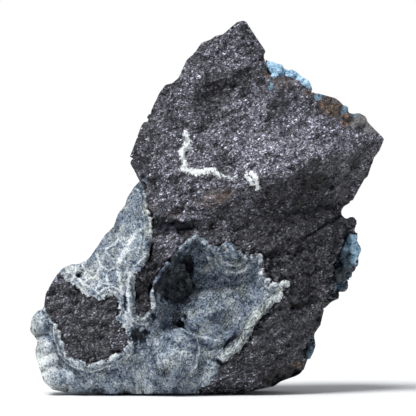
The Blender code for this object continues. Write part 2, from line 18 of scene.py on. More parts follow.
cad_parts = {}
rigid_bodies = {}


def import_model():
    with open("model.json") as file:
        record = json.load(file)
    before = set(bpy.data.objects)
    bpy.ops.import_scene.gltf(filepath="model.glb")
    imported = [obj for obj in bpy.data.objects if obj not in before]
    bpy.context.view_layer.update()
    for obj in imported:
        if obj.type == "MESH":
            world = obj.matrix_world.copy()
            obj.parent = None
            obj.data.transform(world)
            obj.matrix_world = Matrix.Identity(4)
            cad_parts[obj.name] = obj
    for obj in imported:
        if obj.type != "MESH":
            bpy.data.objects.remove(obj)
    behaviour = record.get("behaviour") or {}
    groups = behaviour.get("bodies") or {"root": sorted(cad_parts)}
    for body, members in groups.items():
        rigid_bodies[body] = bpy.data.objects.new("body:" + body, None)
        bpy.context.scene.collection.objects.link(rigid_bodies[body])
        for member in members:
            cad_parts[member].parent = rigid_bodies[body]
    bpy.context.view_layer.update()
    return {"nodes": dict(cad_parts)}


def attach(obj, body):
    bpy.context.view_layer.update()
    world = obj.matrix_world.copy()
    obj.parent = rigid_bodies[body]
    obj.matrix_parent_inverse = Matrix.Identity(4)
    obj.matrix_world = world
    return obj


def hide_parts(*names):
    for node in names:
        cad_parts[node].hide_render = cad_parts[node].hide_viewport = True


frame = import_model()

MM = 0.001

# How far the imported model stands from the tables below
TABLE_SHIFT = (-0.1, 0.9, 0.0)

# Camera, level with the middle of the specimen
CAMERA_DISTANCE = 0.9
VIEW_WIDTH = 0.104
VIEW_CENTRE = (-0.0002, 0.0, 0.04625)
SENSOR = 36.0

# Depth of the far side at most
FARTHEST = 21.0

# Fineness of the remade meshes
ROCK_VOXEL = 0.40
CRUST_VOXEL = 0.36
BLUE_VOXEL = 0.26
ROCK_KEPT = 0.58

# The layers and grains of the chalcocite rise to the right by this angle
RISE = math.radians(22)

# Field value of points that are near no line of its kind
NOWHERE = 9.0

# Imported solids of the bright blue patches, and how bright each one is painted: the top one lit, the side
# and low ones in painted shade
BLUE_NODES = {"blue_crust_top": 1.06, "blue_crust_side": 0.72, "blue_crust_low": 0.30}

# Outline of the specimen seen from the front: (x, z)
OUTLINE = [
    (-44.1, 15.8), (-43.8, 18.5), (-43.2, 19.8), (-42.2, 20.8), (-41.2, 21.1), (-40.5, 22.2),
    (-40.1, 25.2), (-37.9, 29.1), (-36.0, 31.4), (-34.1, 32.2), (-32.8, 32.0), (-29.5, 33.7),
    (-25.7, 39.6), (-23.5, 41.7), (-22.3, 45.0), (-20.7, 46.9), (-20.2, 48.8), (-18.4, 51.6),
    (-17.0, 52.9), (-19.3, 57.2), (-19.6, 58.5), (-16.6, 66.8), (-14.2, 70.4), (-12.2, 74.8),
    (-10.7, 76.8), (-9.0, 77.2), (-7.4, 78.6), (-5.4, 83.1), (-3.2, 85.2), (-1.7, 87.4), (0.5, 88.2),
    (1.9, 89.2), (3.5, 89.4), (7.1, 92.6), (8.7, 93.0), (9.5, 92.6), (14.3, 85.2), (13.8, 84.4),
    (14.3, 83.1), (18.3, 81.9), (19.2, 80.2), (20.7, 80.8), (21.8, 80.3), (23.6, 78.7), (25.0, 78.1),
    (25.9, 76.0), (25.8, 75.2), (31.8, 73.6), (33.6, 71.9), (34.8, 71.6), (34.9, 70.2), (35.8, 69.3),
    (37.2, 70.2), (39.3, 69.1), (39.8, 67.7), (43.9, 63.5), (42.8, 60.6), (41.4, 58.8), (40.0, 54.2),
    (39.0, 53.4), (36.0, 47.9), (33.8, 46.6), (32.9, 44.8), (34.3, 43.3), (35.9, 44.2), (37.2, 43.5),
    (37.2, 38.8), (36.8, 37.3), (38.0, 36.8), (38.2, 35.8), (37.4, 34.0), (37.4, 32.2), (36.2, 29.8),
    (35.9, 27.5), (33.5, 23.9), (30.8, 22.7), (28.8, 20.8), (27.9, 17.2), (26.2, 14.8), (26.7, 12.0),
    (26.2, 10.5), (25.3, 8.8), (24.0, 8.7), (23.1, 7.6), (22.9, 6.8), (23.7, 6.0), (22.5, 4.7),
    (17.9, 3.2), (16.2, 2.0), (11.9, 1.2), (8.4, 0.0), (-33.0, 0.0), (-38.4, 1.5), (-40.6, 3.5),
    (-42.6, 9.2), (-42.8, 11.2), (-42.1, 13.2), (-44.1, 15.8),
]
# Cracks of the chalcocite, sunk and darkened with painted shade: path and half width
CRACKS = [
    ([(33.4, 44.2), (29.2, 42.2), (26.1, 40.2), (24.0, 38.9)], 0.45),
    ([(21.2, 21.6), (23.0, 22.2), (24.4, 23.0), (26.8, 23.5)], 0.75),
    ([(16.8, 27.0), (19.6, 24.6), (21.2, 21.6)], 0.25),
    ([(31.2, 27.2), (33.8, 29.8), (35.6, 33.4)], 0.6),
]
# How rough the chalcocite is by place
ROUGH_PLACES = [
    (0, 45, 90, 90, 0.75), (36, 55, 7, 6, 0.25), (24, 44, 9, 3.5, 0.35), (21, 31, 12, 8, 1.25),
    (20, 12, 9, 9, 0.5), (-15, 29, 4, 10, 1.2), (0, 49, 16, 5, 1.1),
]
# Lower edge of the topmost blue patch
BLUE_EDGE = [(14.4, 80.2), (16.0, 78.3), (17.6, 79.3), (20.0, 79.0), (22.4, 77.8), (24.2, 76.5), (26.4, 75.2)]
# Creases of the chalcocite: under the first the face turns down, left of the second it turns back
BROW = [
    (8.0, 52.0), (10.5, 52.7), (12.3, 53.7), (15.9, 53.9), (19.4, 54.1), (22.1, 55.7), (25.2, 57.9),
    (29.3, 59.7), (34.2, 60.8), (37.3, 62.1), (40.4, 63.7), (44.0, 63.2),
]
LEFT_CREASE = [(-10.5, 76.6), (-13.6, 71.3), (-16.7, 66.8), (-18.1, 62.4), (-18.7, 58.3), (-18.0, 54.0)]

# Edge lines of the crust on the front face: (x, z)
HOLLOW_LEFT_RIM = [
    (-3.0, 40.0), (-5.0, 37.9), (-7.7, 35.7), (-9.4, 33.5), (-10.5, 31.5), (-12.1, 29.5), (-13.4, 26.9),
    (-13.9, 24.7), (-13.5, 22.5), (-14.5, 20.3), (-15.6, 19.4),
]
RIDGE_BAND = [
    (-15.6, 41.1), (-17.8, 39.8), (-19.5, 37.2), (-20.8, 34.8), (-21.9, 32.6), (-22.4, 30.8), (-21.5, 28.2),
    (-21.0, 25.1), (-20.4, 22.9), (-19.9, 19.4), (-19.3, 17.2),
]
INNER_BAND = [
    (-15.1, 34.8), (-17.8, 31.7), (-19.3, 29.1), (-19.6, 26.5), (-19.5, 23.8), (-19.2, 20.8), (-18.5, 18.3),
    (-16.9, 17.7), (-15.1, 17.7),
]
NODULE_OUTER = [
    (-36.0, 31.1), (-32.7, 29.1), (-29.6, 26.9), (-27.0, 25.1), (-25.2, 26.5), (-23.0, 26.9), (-21.3, 26.0),
    (-20.5, 23.8), (-20.6, 21.2), (-19.9, 17.7), (-19.0, 15.0), (-19.0, 12.4), (-19.5, 10.2),
]
NODULE_UNDER = [
    (-37.9, 17.7), (-37.7, 14.2), (-36.6, 10.7), (-34.9, 8.2), (-31.4, 6.9), (-28.3, 6.5), (-24.8, 7.4),
    (-21.7, 8.7), (-19.5, 10.2),
]
DOME_FOOT = [(-6.6, 19.2), (-5.5, 17.2), (-4.2, 15.5), (-1.5, 14.2), (2.4, 13.5), (3.7, 12.9)]
LOWER_DOME_EDGE = [(-7.0, 15.5), (-5.5, 15.9), (-4.2, 15.0), (-2.6, 13.3), (-2.4, 10.7), (-3.3, 8.0)]
ARCS = [
    [(2.9, 35.2), (3.7, 33.5), (5.5, 32.2), (7.5, 32.2), (9.0, 33.0)],
    [(1.3, 35.2), (2.2, 32.6), (4.2, 30.8), (6.8, 30.2), (9.2, 31.3), (10.0, 32.6)],
    [(-0.2, 34.8), (0.7, 31.7), (2.9, 29.5), (5.5, 28.6)],
]
# White cells of the left slope: centre and radius
SLOPE_CELLS = [
    (-31.6, 29.6, 1.6), (-28.3, 32.2, 1.8), (-26.1, 29.8, 1.9), (-23.5, 29.4, 1.7), (-28.2, 27.6, 1.6),
    (-25.2, 32.8, 1.7), (-26.3, 26.4, 1.3), (-29.2, 30.0, 1.3), (-22.4, 35.6, 2.0), (-24.4, 38.4, 1.6),
    (-20.4, 38.9, 1.5), (-33.6, 30.4, 1.1), (-22.8, 26.6, 1.0),
]
# Cream bands: path and half width
CREAM_STRIP = [(-15.6, 46.4), (-15.0, 44.4), (-14.3, 43.0), (-14.6, 40.9), (-15.1, 39.4)]
CREAM_LEFT = [
    (-43.2, 16.6), (-41.8, 13.5), (-42.2, 10.7), (-41.2, 7.2), (-40.1, 4.1), (-37.9, 2.0), (-34.9, 1.5),
]
CREAM_RIM = [
    (19.0, 27.3), (16.9, 25.4), (14.6, 23.2), (12.6, 20.8), (11.0, 18.9), (9.2, 16.6), (7.6, 13.9),
    (6.2, 11.6), (3.6, 9.8),
]
# Clefts and pits, darkened in the crust's colour as painted shade
LEFT_GROOVE = [(-20.5, 24.5), (-20.3, 21.2)]
RIM_GROOVE = [(3.9, 12.2), (5.3, 13.6), (6.6, 15.0)]
DARK_PITS = [
    (-9.3, 27.4, 2.9), (-8.4, 29.8, 2.4), (-6.7, 32.2, 2.1), (-7.8, 26.2, 2.4), (-11.3, 28.2, 1.0),
    (-6.2, 29.4, 1.6), (-5.2, 33.6, 1.0), (-4.6, 31.2, 0.7), (-10.4, 24.4, 0.7), (-6.7, 17.5, 0.9),
    (-5.9, 19.2, 0.5), (-17.9, 15.1, 1.2), (-16.5, 14.5, 1.0), (-15.6, 15.4, 0.7), (2.4, 8.2, 0.5),
    (-13.6, 19.6, 0.5), (-31.9, 29.7, 0.8), (-9.6, 33.2, 0.5),
]
# Rounded growths of the crust: centre and radius
GROWTHS = [
    (-7.4, 14.4, 2.2), (-4.8, 12.8, 2.1), (-5.8, 10.0, 2.3), (-9.1, 11.6, 2.3), (-11.2, 9.2, 2.3),
    (-8.2, 7.4, 2.2), (-12.2, 12.6, 1.7), (-4.2, 7.2, 1.9), (-12.6, 6.2, 2.0), (-41.5, 17.9, 2.5),
    (-40.2, 12.9, 2.4), (-41.0, 8.6, 2.4), (-38.4, 4.6, 2.5), (-34.2, 4.9, 2.4), (-29.6, 3.6, 2.2),
    (-26.2, 5.2, 1.7), (-22.7, 4.4, 2.3), (-17.6, 5.8, 2.3), (-14.6, 2.6, 2.0), (-9.4, 3.4, 2.2),
    (-1.2, 4.4, 2.1), (-37.9, 9.2, 1.7), (-16.6, 10.4, 1.9),
]
# Tone of the crust by place, its own colour with painted shade in the hollow and in the grooves by the domes:
# centre x, z, radii, tone
CRUST_TONES_AND_SHADE = [
    (-25, 8, 60, 40, 0.41), (-20, 47, 6, 7, 0.34), (-26, 33, 12, 8, 0.365), (-30, 29.5, 5, 3.5, 0.51),
    (-19, 33, 4, 10, 0.48), (-17.3, 35, 1.8, 2.8, 0.54), (-41, 12, 5, 9, 0.40), (-39.5, 6, 4, 6, 0.72),
    (-28, 3.5, 14, 3.5, 0.41), (-3, 27, 17, 13, 0.33), (-9.5, 30.0, 7.0, 12.5, 0.18),
    (-4, 37, 4.0, 3.5, 0.18), (-11.5, 23, 4.5, 5.5, 0.26), (6, 32, 7, 4.5, 0.30),
    (12.5, 31, 4, 4, 0.38), (1.4, 20.6, 8, 6.6, 0.36), (5.5, 15.5, 3.5, 2.2, 0.24),
    (-4.5, 17.0, 2.5, 1.8, 0.24), (-8, 11.0, 5.4, 5.0, 0.35), (-17, 11, 4, 5, 0.36),
    (3.2, 9.5, 2.6, 3.4, 0.34), (16.8, 25.8, 2.4, 3.0, 0.50), (8.3, 18.6, 1.6, 3.0, 0.40),
    (10.5, 22.0, 1.6, 3.0, 0.44),
]
# The pit of the hollow: centre x, z and radii
PIT = (-8.5, 28.8, 4.6, 5.6)
# Where the rim of the hollow is thin and even: centre x, z and radii
THIN_RIM = (-9.0, 33.0, 7.5, 11.0)
# Folds of the hollow's upper right, drawn only as painted bands of light and shade: centre, radius of one,
# spacing
FOLDS = (6.0, 36.3, 4.0, 2.1)
# Where these folds show: centre x, z and radii
FOLDED = (5.5, 32.5, 7.0, 4.5)
# Rings of painted shade around the feet of the large domes: centre, radius, half width, darkness
DOME_SHADE_RINGS = [(0.9, 20.8, 8.6, 1.1, 0.13), (-7.6, 10.9, 6.3, 0.9, 0.12)]
# Width of the pale rim by place
RIM_WIDTHS = [
    (-25, 8, 60, 60, 0.62), (-10, 31, 7, 12, 0.30), (5, 36, 8, 3, 0.35), (14.4, 31, 2.2, 5, 1.2),
]

# Films and stains on the chalcocite: path or places, in the same plane
CHALK_TRAIL = [
    (-5.6, 64.8), (-5.2, 63.2), (-4.9, 61.9), (-6.4, 60.3), (-6.4, 58.8), (-5.6, 57.0), (-6.3, 55.9),
    (-4.4, 55.7), (-2.9, 54.9), (-2.0, 55.6), (-0.2, 55.2), (1.1, 55.6), (2.5, 54.3),
]
CHALK_FAINT = [(2.5, 54.3), (4.4, 53.8), (6.6, 53.9)]
CHALK_SPOT = [(9.2, 54.2), (10.3, 53.0), (11.0, 51.8), (12.1, 51.0), (11.6, 52.8), (11.5, 54.3), (10.4, 54.6)]
RUST_PLACES = [
    (2.7, 49.0, 3.6, 2.1, 1.5), (0.0, 47.4, 2.8, 1.1, 1.0), (-8.7, 44.6, 2.2, 0.8, 0.7),
    (-13.1, 46.2, 1.2, 0.9, 0.8), (24.4, 75.2, 1.6, 1.2, 0.8), (18.6, 77.4, 3.4, 1.6, 0.8),
]
OCHRE_PLACES = [
    (31.0, 71.3, 3.6, 2.3, 1.0), (34.2, 68.3, 2.0, 2.2, 1.0), (28.8, 73.2, 1.8, 1.4, 0.9),
    (14.6, 79.4, 1.0, 1.6, 1.0), (25.2, 74.8, 1.2, 0.9, 0.9), (22.2, 7.6, 1.3, 1.0, 1.6),
]
CLAY_PLACES = [(38.4, 68.0, 2.6, 1.6, 1.0), (40.6, 66.4, 1.8, 1.4, 1.0), (36.4, 67.4, 1.2, 1.0, 0.7)]
AZURE_PLACES = [
    (27.6, 74.2, 1.2, 0.7, 1.0), (34.0, 70.9, 0.9, 1.2, 1.0), (36.9, 69.6, 1.0, 0.7, 1.0),
    (15.6, 76.8, 0.7, 1.1, 0.8),
]
# Navy film, and painted navy shadow in the slot under the overhang
NAVY_AND_SHADOW_PLACES = [(37.4, 66.0, 1.3, 1.0, 1.0), (-9.0, 41.7, 6.0, 1.4, 1.0), (-3.0, 42.8, 3.0, 1.0, 0.6)]
# Dark stretches of the blue patches, the first of them painted shade in the crevice of the side patch
BLUE_DARKS_AND_SHADE = [
    (32.6, 30.2, 3.4, 4.6, 0.93), (34.6, 33.4, 1.5, 3.0, 0.7), (22.2, 7.4, 1.3, 1.0, 0.8),
    (24.2, 10.8, 0.8, 1.6, 0.5),
]
# Where chalcocite grains cover the blue patches
STONY_PLACES = [
    (37.2, 30.0, 2.8, 3.4, 1.2), (36.2, 41.2, 2.4, 2.0, 1.2), (38.2, 33.0, 1.8, 2.4, 1.2),
    (26.6, 12.6, 1.0, 2.2, 0.9),
]
# Light and dark stretches of the chalcocite, its own tone mixed with painted light on the upper face and
# painted shade on down-turned faces, in the slot under the overhang and low down: centre x, z, radii,
# brightness
ROCK_TONES_AND_LIGHT = [
    (12, 64, 40, 22, 1.05), (19, 62, 13, 8, 1.74), (-9, 52, 7, 6, 1.30), (2.5, 75, 6.5, 3.6, 0.50),
    (9.5, 79, 6, 2.0, 0.60), (-17, 66, 3.4, 16, 0.66), (28, 48, 17, 10, 0.76),
    (26.6, 52, 4, 2.5, 0.36), (10, 44, 9, 6, 0.84), (20, 20, 22, 26, 0.67), (29, 40, 9, 4, 0.58),
    (-30, 17, 12, 12, 0.62), (-15.5, 30, 4.6, 12, 0.42), (-9.0, 41.8, 6.5, 2.0, 0.04),
    (18, 4.0, 5.5, 2.6, 0.16),
]

# Colours of the finishes, from dark to light: place on the scale, red, green, blue
# The lightest grains are painted glints
GRAIN_AND_GLINT_COLOURS = [
    (0.0, (0.010, 0.010, 0.0125)), (0.50, (0.028, 0.028, 0.0355)), (0.76, (0.085, 0.085, 0.105)),
    (0.92, (0.24, 0.238, 0.29)), (1.0, (0.70, 0.70, 0.83)),
]
RUST_COLOURS = [
    (0.0, (0.035, 0.028, 0.026)), (0.5, (0.12, 0.088, 0.075)), (0.85, (0.26, 0.19, 0.16)),
    (1.0, (0.48, 0.34, 0.26)),
]
OCHRE_COLOURS = [
    (0.36, (0.012, 0.010, 0.010)), (0.5, (0.055, 0.040, 0.032)), (0.57, (0.13, 0.088, 0.060)),
    (0.62, (0.42, 0.20, 0.09)), (0.67, (0.36, 0.34, 0.37)),
]
CLAY_COLOURS = [(0.0, (0.10, 0.095, 0.095)), (1.0, (0.27, 0.26, 0.26))]
CHALK_COLOURS = [(0.0, (0.55, 0.66, 0.72)), (0.5, (0.95, 0.97, 0.97))]
# Navy film colour, also used for the painted shadow in the slot
NAVY_AND_SHADOW = (0.006, 0.009, 0.024)
AZURE = (0.20, 0.36, 0.50)
CRUST_COLOURS = [
    (0.0, (0.007, 0.009, 0.017)), (0.2, (0.035, 0.050, 0.085)), (0.4, (0.125, 0.162, 0.220)),
    (0.6, (0.27, 0.325, 0.39)), (0.8, (0.52, 0.58, 0.63)), (1.0, (0.84, 0.87, 0.88)),
]
CREAM_COLOURS = [
    (0.03, (0.05, 0.058, 0.055)), (0.32, (0.27, 0.295, 0.26)), (0.58, (0.58, 0.61, 0.54)),
    (0.85, (0.85, 0.87, 0.83)),
]
BLUE_COLOURS = [
    (0.20, (0.012, 0.022, 0.035)), (0.36, (0.10, 0.20, 0.30)), (0.50, (0.22, 0.42, 0.58)),
    (0.64, (0.36, 0.60, 0.78)), (0.76, (0.56, 0.70, 0.90)), (0.90, (0.72, 0.88, 0.97)),
]


def alone(piece):
    """Selects only this piece, for the operators that follow."""
    for other in bpy.context.view_layer.objects:
        other.select_set(False)
    piece.select_set(True)
    bpy.context.view_layer.objects.active = piece
    return piece


def refine(piece, kind, **settings):
    """Applies one modifier to the piece."""
    alone(piece)
    step = piece.modifiers.new(kind.lower(), kind)
    for name, value in settings.items():
        setattr(step, name, value)
    bpy.ops.object.modifier_apply(modifier=step.name)
    return piece


def thin_back(piece, kept):
    """Makes the mesh coarser on the far side, which needs less detail than the front."""
    group = piece.vertex_groups.new(name="far_side")
    _, outward = spots(piece)
    far = np.nonzero(outward[:, 1] > 0.1)[0]
    group.add([int(index) for index in far], 1.0, "REPLACE")
    refine(piece, "DECIMATE", vertex_group=group.name, ratio=kept)
    piece.vertex_groups.clear()


def copy_of(node, name):
    """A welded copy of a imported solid, to be worked on as a piece of its own."""
    piece = bpy.data.objects.new(name, frame["nodes"][node].data.copy())
    bpy.context.scene.collection.objects.link(piece)
    bm = bmesh.new()
    bm.from_mesh(piece.data)
    bmesh.ops.remove_doubles(bm, verts=bm.verts, dist=1e-6)
    bm.to_mesh(piece.data)
    bm.free()
    piece.data.materials.clear()
    return piece


def fine_copy(node, name, voxel, rounds):
    """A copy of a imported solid, remade this finely and smoothed."""
    piece = copy_of(node, name)
    refine(piece, "REMESH", mode="VOXEL", voxel_size=voxel * MM)
    return refine(piece, "SMOOTH", factor=0.5, iterations=rounds)


def spots(piece):
    """The piece's points in the millimetres of the tables, and its outward directions."""
    count = len(piece.data.vertices)
    places = np.empty(count * 3)
    normals = np.empty(count * 3)
    piece.data.vertices.foreach_get("co", places)
    piece.data.vertices.foreach_get("normal", normals)
    return places.reshape(-1, 3) / MM - TABLE_SHIFT, normals.reshape(-1, 3)


def place(piece, points):
    """Moves the piece's points, and keeps them above the surface that the specimen stands on."""
    points = points.copy()
    points[:, 2] = np.maximum(points[:, 2], 0.0)
    piece.data.vertices.foreach_set("co", ((points + TABLE_SHIFT) * MM).ravel())
    piece.data.update()


def clouds(points, size, octaves=3, seed=0.0):
    """Smooth noise of this feature size at each point, about -1 to 1."""
    offset = Vector((seed * 17.3, seed * 5.1, seed * 9.7))
    return np.array([noise.fractal(Vector(p) / size + offset, 0.9, 2.0, octaves) for p in points])


def cells(points, size, seed=0.0):
    """Distance to the nearest and second cell centre, and a random value of the cell."""
    offset = Vector((seed * 11.9, seed * 3.3, seed * 7.1))
    near, far, chance = [], [], []
    for p in points:
        distances, centres = noise.voronoi(Vector(p) / size + offset)
        near.append(distances[0])
        far.append(distances[1])
        chance.append(noise.cell(centres[0] * 7.77))
    return np.array(near), np.array(far), np.array(chance)


def smooth(low, high, value):
    """0 below low and 1 above high, with a soft step between."""
    t = np.clip((value - low) / (high - low), 0, 1)
    return t * t * (3 - 2 * t)


def path_distance(points, path):
    """Distance in the front view from each point to a line of (x, z) places."""
    return path_nearest(points, path)[0]


def path_nearest(points, path):
    """Distance from each point to a line of (x, z) places, and the nearest place on the line."""
    here = points[:, [0, 2]]
    best = np.full(len(here), 1e9)
    found = np.zeros_like(here)
    for start, end in zip(np.array(path[:-1]), np.array(path[1:])):
        along = end - start
        t = np.clip((here - start) @ along / (along @ along), 0, 1)
        foot = start + t[:, None] * along
        distance = np.linalg.norm(here - foot, axis=1)
        closer = distance < best
        best[closer] = distance[closer]
        found[closer] = foot[closer]
    return best, found


def inside(points, path):
    """Whether each point is inside a closed line of (x, z) places, seen from the front."""
    x, z = points[:, 0], points[:, 2]
    result = np.zeros(len(points), bool)
    for (x0, z0), (x1, z1) in zip(path[:-1], path[1:]):
        crosses = (z0 > z) != (z1 > z)
        level = np.where(crosses, (z - z0) / ((z1 - z0) or 1.0), 0.0)
        result ^= crosses & (x < x0 + level * (x1 - x0))
    return result


def fit_outline(points, outward, clear=1.0):
    """Brings the edge seen from the front onto the outline, from outside it or from just inside it."""
    distance, foot = path_nearest(points, OUTLINE)
    kept_in = ~inside(points, OUTLINE)
    sideways = 1 - smooth(0.45, 0.75, np.abs(outward[:, 1]))
    pull = np.where(kept_in, 1.0, clear * sideways * (1 - smooth(0.7, 1.5, distance)))
    pull *= np.where(kept_in, 1.0, smooth(0.3, 1.5, points[:, 2]))
    fitted = points.copy()
    fitted[:, [0, 2]] += (foot - points[:, [0, 2]]) * pull[:, None]
    return fitted


def shifted(points, size, amount, seed):
    """The points moved about by smooth noise, so that what is measured from them wanders."""
    moved = points.copy()
    for axis in range(3):
        moved[:, axis] += amount * clouds(points, size, 2, seed + axis * 7.7)
    return moved


def patch(points, x, z, width, height):
    """Elliptical distance in the front view: 0 at the centre of the patch, 1 at its rim."""
    return np.hypot((points[:, 0] - x) / width, (points[:, 2] - z) / height)


def flank_of(points, outward, low, high):
    """1 on the sides that face away from the camera just behind the outline, 0 elsewhere."""
    return smooth(low, high, outward[:, 1]) * (1 - smooth(0.6, 1.6, path_distance(points, OUTLINE)))


def toned(points, tones, softness=0.35):
    """Blends the tones of the places, later ones over earlier ones."""
    value = np.full(len(points), tones[0][-1])
    for x, z, width, height, tone in tones:
        cover = 1 - smooth(1 - softness, 1 + softness, patch(points, x, z, width, height))
        value = value * (1 - cover) + tone * cover
    return value


def covered(points, places):
    """How much of a film lies on each point, 0 to 1."""
    value = np.zeros(len(points))
    for x, z, width, height, strength in places:
        value = np.maximum(value, strength * (1 - smooth(0.5, 1.25, patch(points, x, z, width, height))))
    return value


def record_field(piece, name, values):
    """Stores one number for each point, for the piece's material."""
    field = piece.data.attributes.new(name, "FLOAT", "POINT")
    field.data.foreach_set("value", values.astype(np.float32))


def surface_tree(node):
    """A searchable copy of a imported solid's surface."""
    mesh = frame["nodes"][node].data
    return BVHTree.FromPolygons([v.co for v in mesh.vertices], [p.vertices for p in mesh.polygons])


def distance_to(points, tree, reach=6.0):
    """Distance in millimetres from each point to the surface, up to the reach."""
    result = []
    for p in (points + TABLE_SHIFT) * MM:
        found = tree.find_nearest(Vector(p), reach * MM)
        result.append(found[3] / MM if found[3] is not None else reach)
    return np.array(result)


class Shading:
    """Builds a procedural material step by step."""

    def __init__(self, name):
        self.material = bpy.data.materials.new(name)
        self.material.use_nodes = True
        self.tree = self.material.node_tree
        self.shader = self.tree.nodes["Principled BSDF"]
        self.coordinates = self.tree.nodes.new("ShaderNodeTexCoord").outputs["Object"]

    def node(self, kind, inputs=None, **settings):
        made = self.tree.nodes.new(kind)
        for name, value in settings.items():
            setattr(made, name, value)
        for name, value in (inputs or {}).items():
            self.feed(made.inputs[name], value)
        return made

    def feed(self, socket, value):
        if isinstance(value, bpy.types.NodeSocket):
            self.tree.links.new(value, socket)
        else:
            socket.default_value = value

    def field(self, name):
        return self.node("ShaderNodeAttribute", attribute_name=name).outputs["Fac"]

    def parts(self, colour):
        return self.node("ShaderNodeSeparateColor", {"Color": colour}).outputs

    def math(self, operation, first, second=0.0, clamp=False):
        inputs = {0: first, 1: second}
        return self.node("ShaderNodeMath", inputs, operation=operation, use_clamp=clamp).outputs[0]

    def plus(self, first, second, clamp=False):
        return self.math("ADD", first, second, clamp)

    def minus(self, first, second, clamp=False):
        return self.math("SUBTRACT", first, second, clamp)

    def times(self, first, second, clamp=False):
        return self.math("MULTIPLY", first, second, clamp)

    def noise(self, size_mm, detail=3.0, roughness=0.55, seed=0.0, distortion=0.0):
        away = {0: self.coordinates, 1: (seed, seed * 0.7, -seed)}
        moved = self.node("ShaderNodeVectorMath", away).outputs[0]
        inputs = {"Vector": moved, "Scale": 1 / (size_mm * MM), "Detail": detail, "Roughness": roughness}
        return self.node("ShaderNodeTexNoise", {**inputs, "Distortion": distortion}).outputs[0]

    def grains(self, size_mm, stretch=1.0):
        turned = self.node("ShaderNodeMapping", {"Vector": self.coordinates}, vector_type="TEXTURE")
        turned.inputs["Rotation"].default_value = (0, -RISE, 0)
        turned.inputs["Scale"].default_value = (stretch, 1, 1)
        inputs = {"Vector": turned.outputs["Vector"], "Scale": 1 / (size_mm * MM)}
        return self.node("ShaderNodeTexVoronoi", inputs).outputs

    def remap(self, value, low, high, new_low=0.0, new_high=1.0):
        inputs = {"Value": value, "From Min": low, "From Max": high, "To Min": new_low, "To Max": new_high}
        return self.node("ShaderNodeMapRange", inputs, clamp=True).outputs[0]

    def ramp(self, value, stops):
        made = self.node("ShaderNodeValToRGB", {"Fac": value})
        elements = made.color_ramp.elements
        while len(elements) < len(stops):
            elements.new(0.5)
        for element, (position, colour) in zip(elements, stops):
            element.position = position
            element.color = (*colour, 1)
        return made.outputs["Color"]

    def mix(self, amount, first, second):
        made = self.node("ShaderNodeMix", {"Factor": amount}, data_type="RGBA")
        self.feed(made.inputs["A"], first if isinstance(first, bpy.types.NodeSocket) else (*first, 1))
        self.feed(made.inputs["B"], second if isinstance(second, bpy.types.NodeSocket) else (*second, 1))
        return made.outputs["Result"]

    def scaled(self, colour, factor):
        return self.node("ShaderNodeVectorMath", {0: colour, "Scale": factor}, operation="SCALE").outputs[0]

    def bump(self, height, strength, depth_mm):
        inputs = {"Height": height, "Strength": strength, "Distance": depth_mm * MM}
        return self.node("ShaderNodeBump", inputs)

    def coat(self, colour, facing):
        """Gives the shader its colour and its surface direction."""
        self.feed(self.shader.inputs["Base Color"], colour)
        self.feed(self.shader.inputs["Normal"], facing)
        return self.material


def grain_colour(made, grain, fine):
    """Colour of the chalcocite grains: mostly near black, a few painted bright as glints."""
    glint = made.math("MAXIMUM", grain[0], made.times(fine[0], 0.95))
    return made.ramp(glint, GRAIN_AND_GLINT_COLOURS)


def grain_facing(made, grain, chunk):
    """Surface direction that differs from chunk to chunk and from grain to grain."""
    facing = made.node("ShaderNodeNewGeometry").outputs["Normal"]
    for colour, amount in ((grain, 0.8), (chunk, 0.6)):
        tilt = made.node("ShaderNodeVectorMath", {0: colour, 1: (-0.5, -0.5, -0.5)}).outputs[0]
        facing = made.node("ShaderNodeVectorMath", {0: facing, 1: made.scaled(tilt, amount)}).outputs[0]
    return made.node("ShaderNodeVectorMath", {0: facing}, operation="NORMALIZE").outputs[0]


def rock_body(made, grain, fine, chunk):
    """The bare grains, lighter and darker by clump, by chunk and by stretch, and by the tone field with its
    painted light and shade.
    """
    clumps = made.remap(made.noise(0.65, 3.0, 0.65, 8.0), 0.32, 0.68, 0.25, 1.7)
    clumps = made.times(clumps, made.remap(chunk[0], 0.0, 1.0, 0.7, 1.3))
    stretches = made.remap(made.noise(5.0, 4.0), 0.3, 0.7, 0.65, 1.4)
    brightness = made.times(made.field("tone"), made.times(stretches, clumps))
    return made.scaled(grain_colour(made, grain, fine), brightness)


def stain(made, name, blotch, low, high):
    """A film that lies where its field is, broken up by blotches."""
    return made.times(made.field(name), made.remap(blotch, low, high), clamp=True)


def filmed(made, body, grain, fine):
    """Lays the stains and films on the grains, and returns how much of them they hide."""
    blotch = made.noise(0.8, 4.0, 0.7, 3.0)
    rust = stain(made, "rust", blotch, 0.42, 0.6)
    body = made.mix(rust, body, made.ramp(grain[1], RUST_COLOURS))
    ochre = stain(made, "ochre", blotch, 0.34, 0.5)
    body = made.mix(ochre, body, made.ramp(made.noise(0.9, 4.0, 0.75, 15.0), OCHRE_COLOURS))
    clay = stain(made, "clay", blotch, 0.3, 0.5)
    body = made.mix(clay, body, made.ramp(grain[1], CLAY_COLOURS))
    # Navy film, and painted shadow in the slot under the overhang
    body = made.mix(stain(made, "navy_and_shadow", blotch, 0.35, 0.6), body, NAVY_AND_SHADOW)
    azure = stain(made, "azure", blotch, 0.42, 0.52)
    body = made.mix(azure, body, AZURE)
    lap = made.remap(made.plus(made.field("lap"), made.times(blotch, -1.6)), -0.35, -0.2)
    crusted = made.remap(made.noise(1.1, 5.0, 0.7, 2.0), 0.3, 0.7, 0.2, 0.75)
    body = made.mix(lap, body, made.ramp(crusted, CRUST_COLOURS))
    chalk = made.remap(made.minus(made.field("chalk"), made.noise(0.48, 3.0, 0.75, 6.0)), -0.02, 0.05)
    body = made.mix(chalk, body, made.ramp(fine[1], CHALK_COLOURS))
    films = made.plus(made.plus(rust, clay), made.plus(azure, chalk))
    return body, made.plus(films, made.plus(lap, ochre), clamp=True)


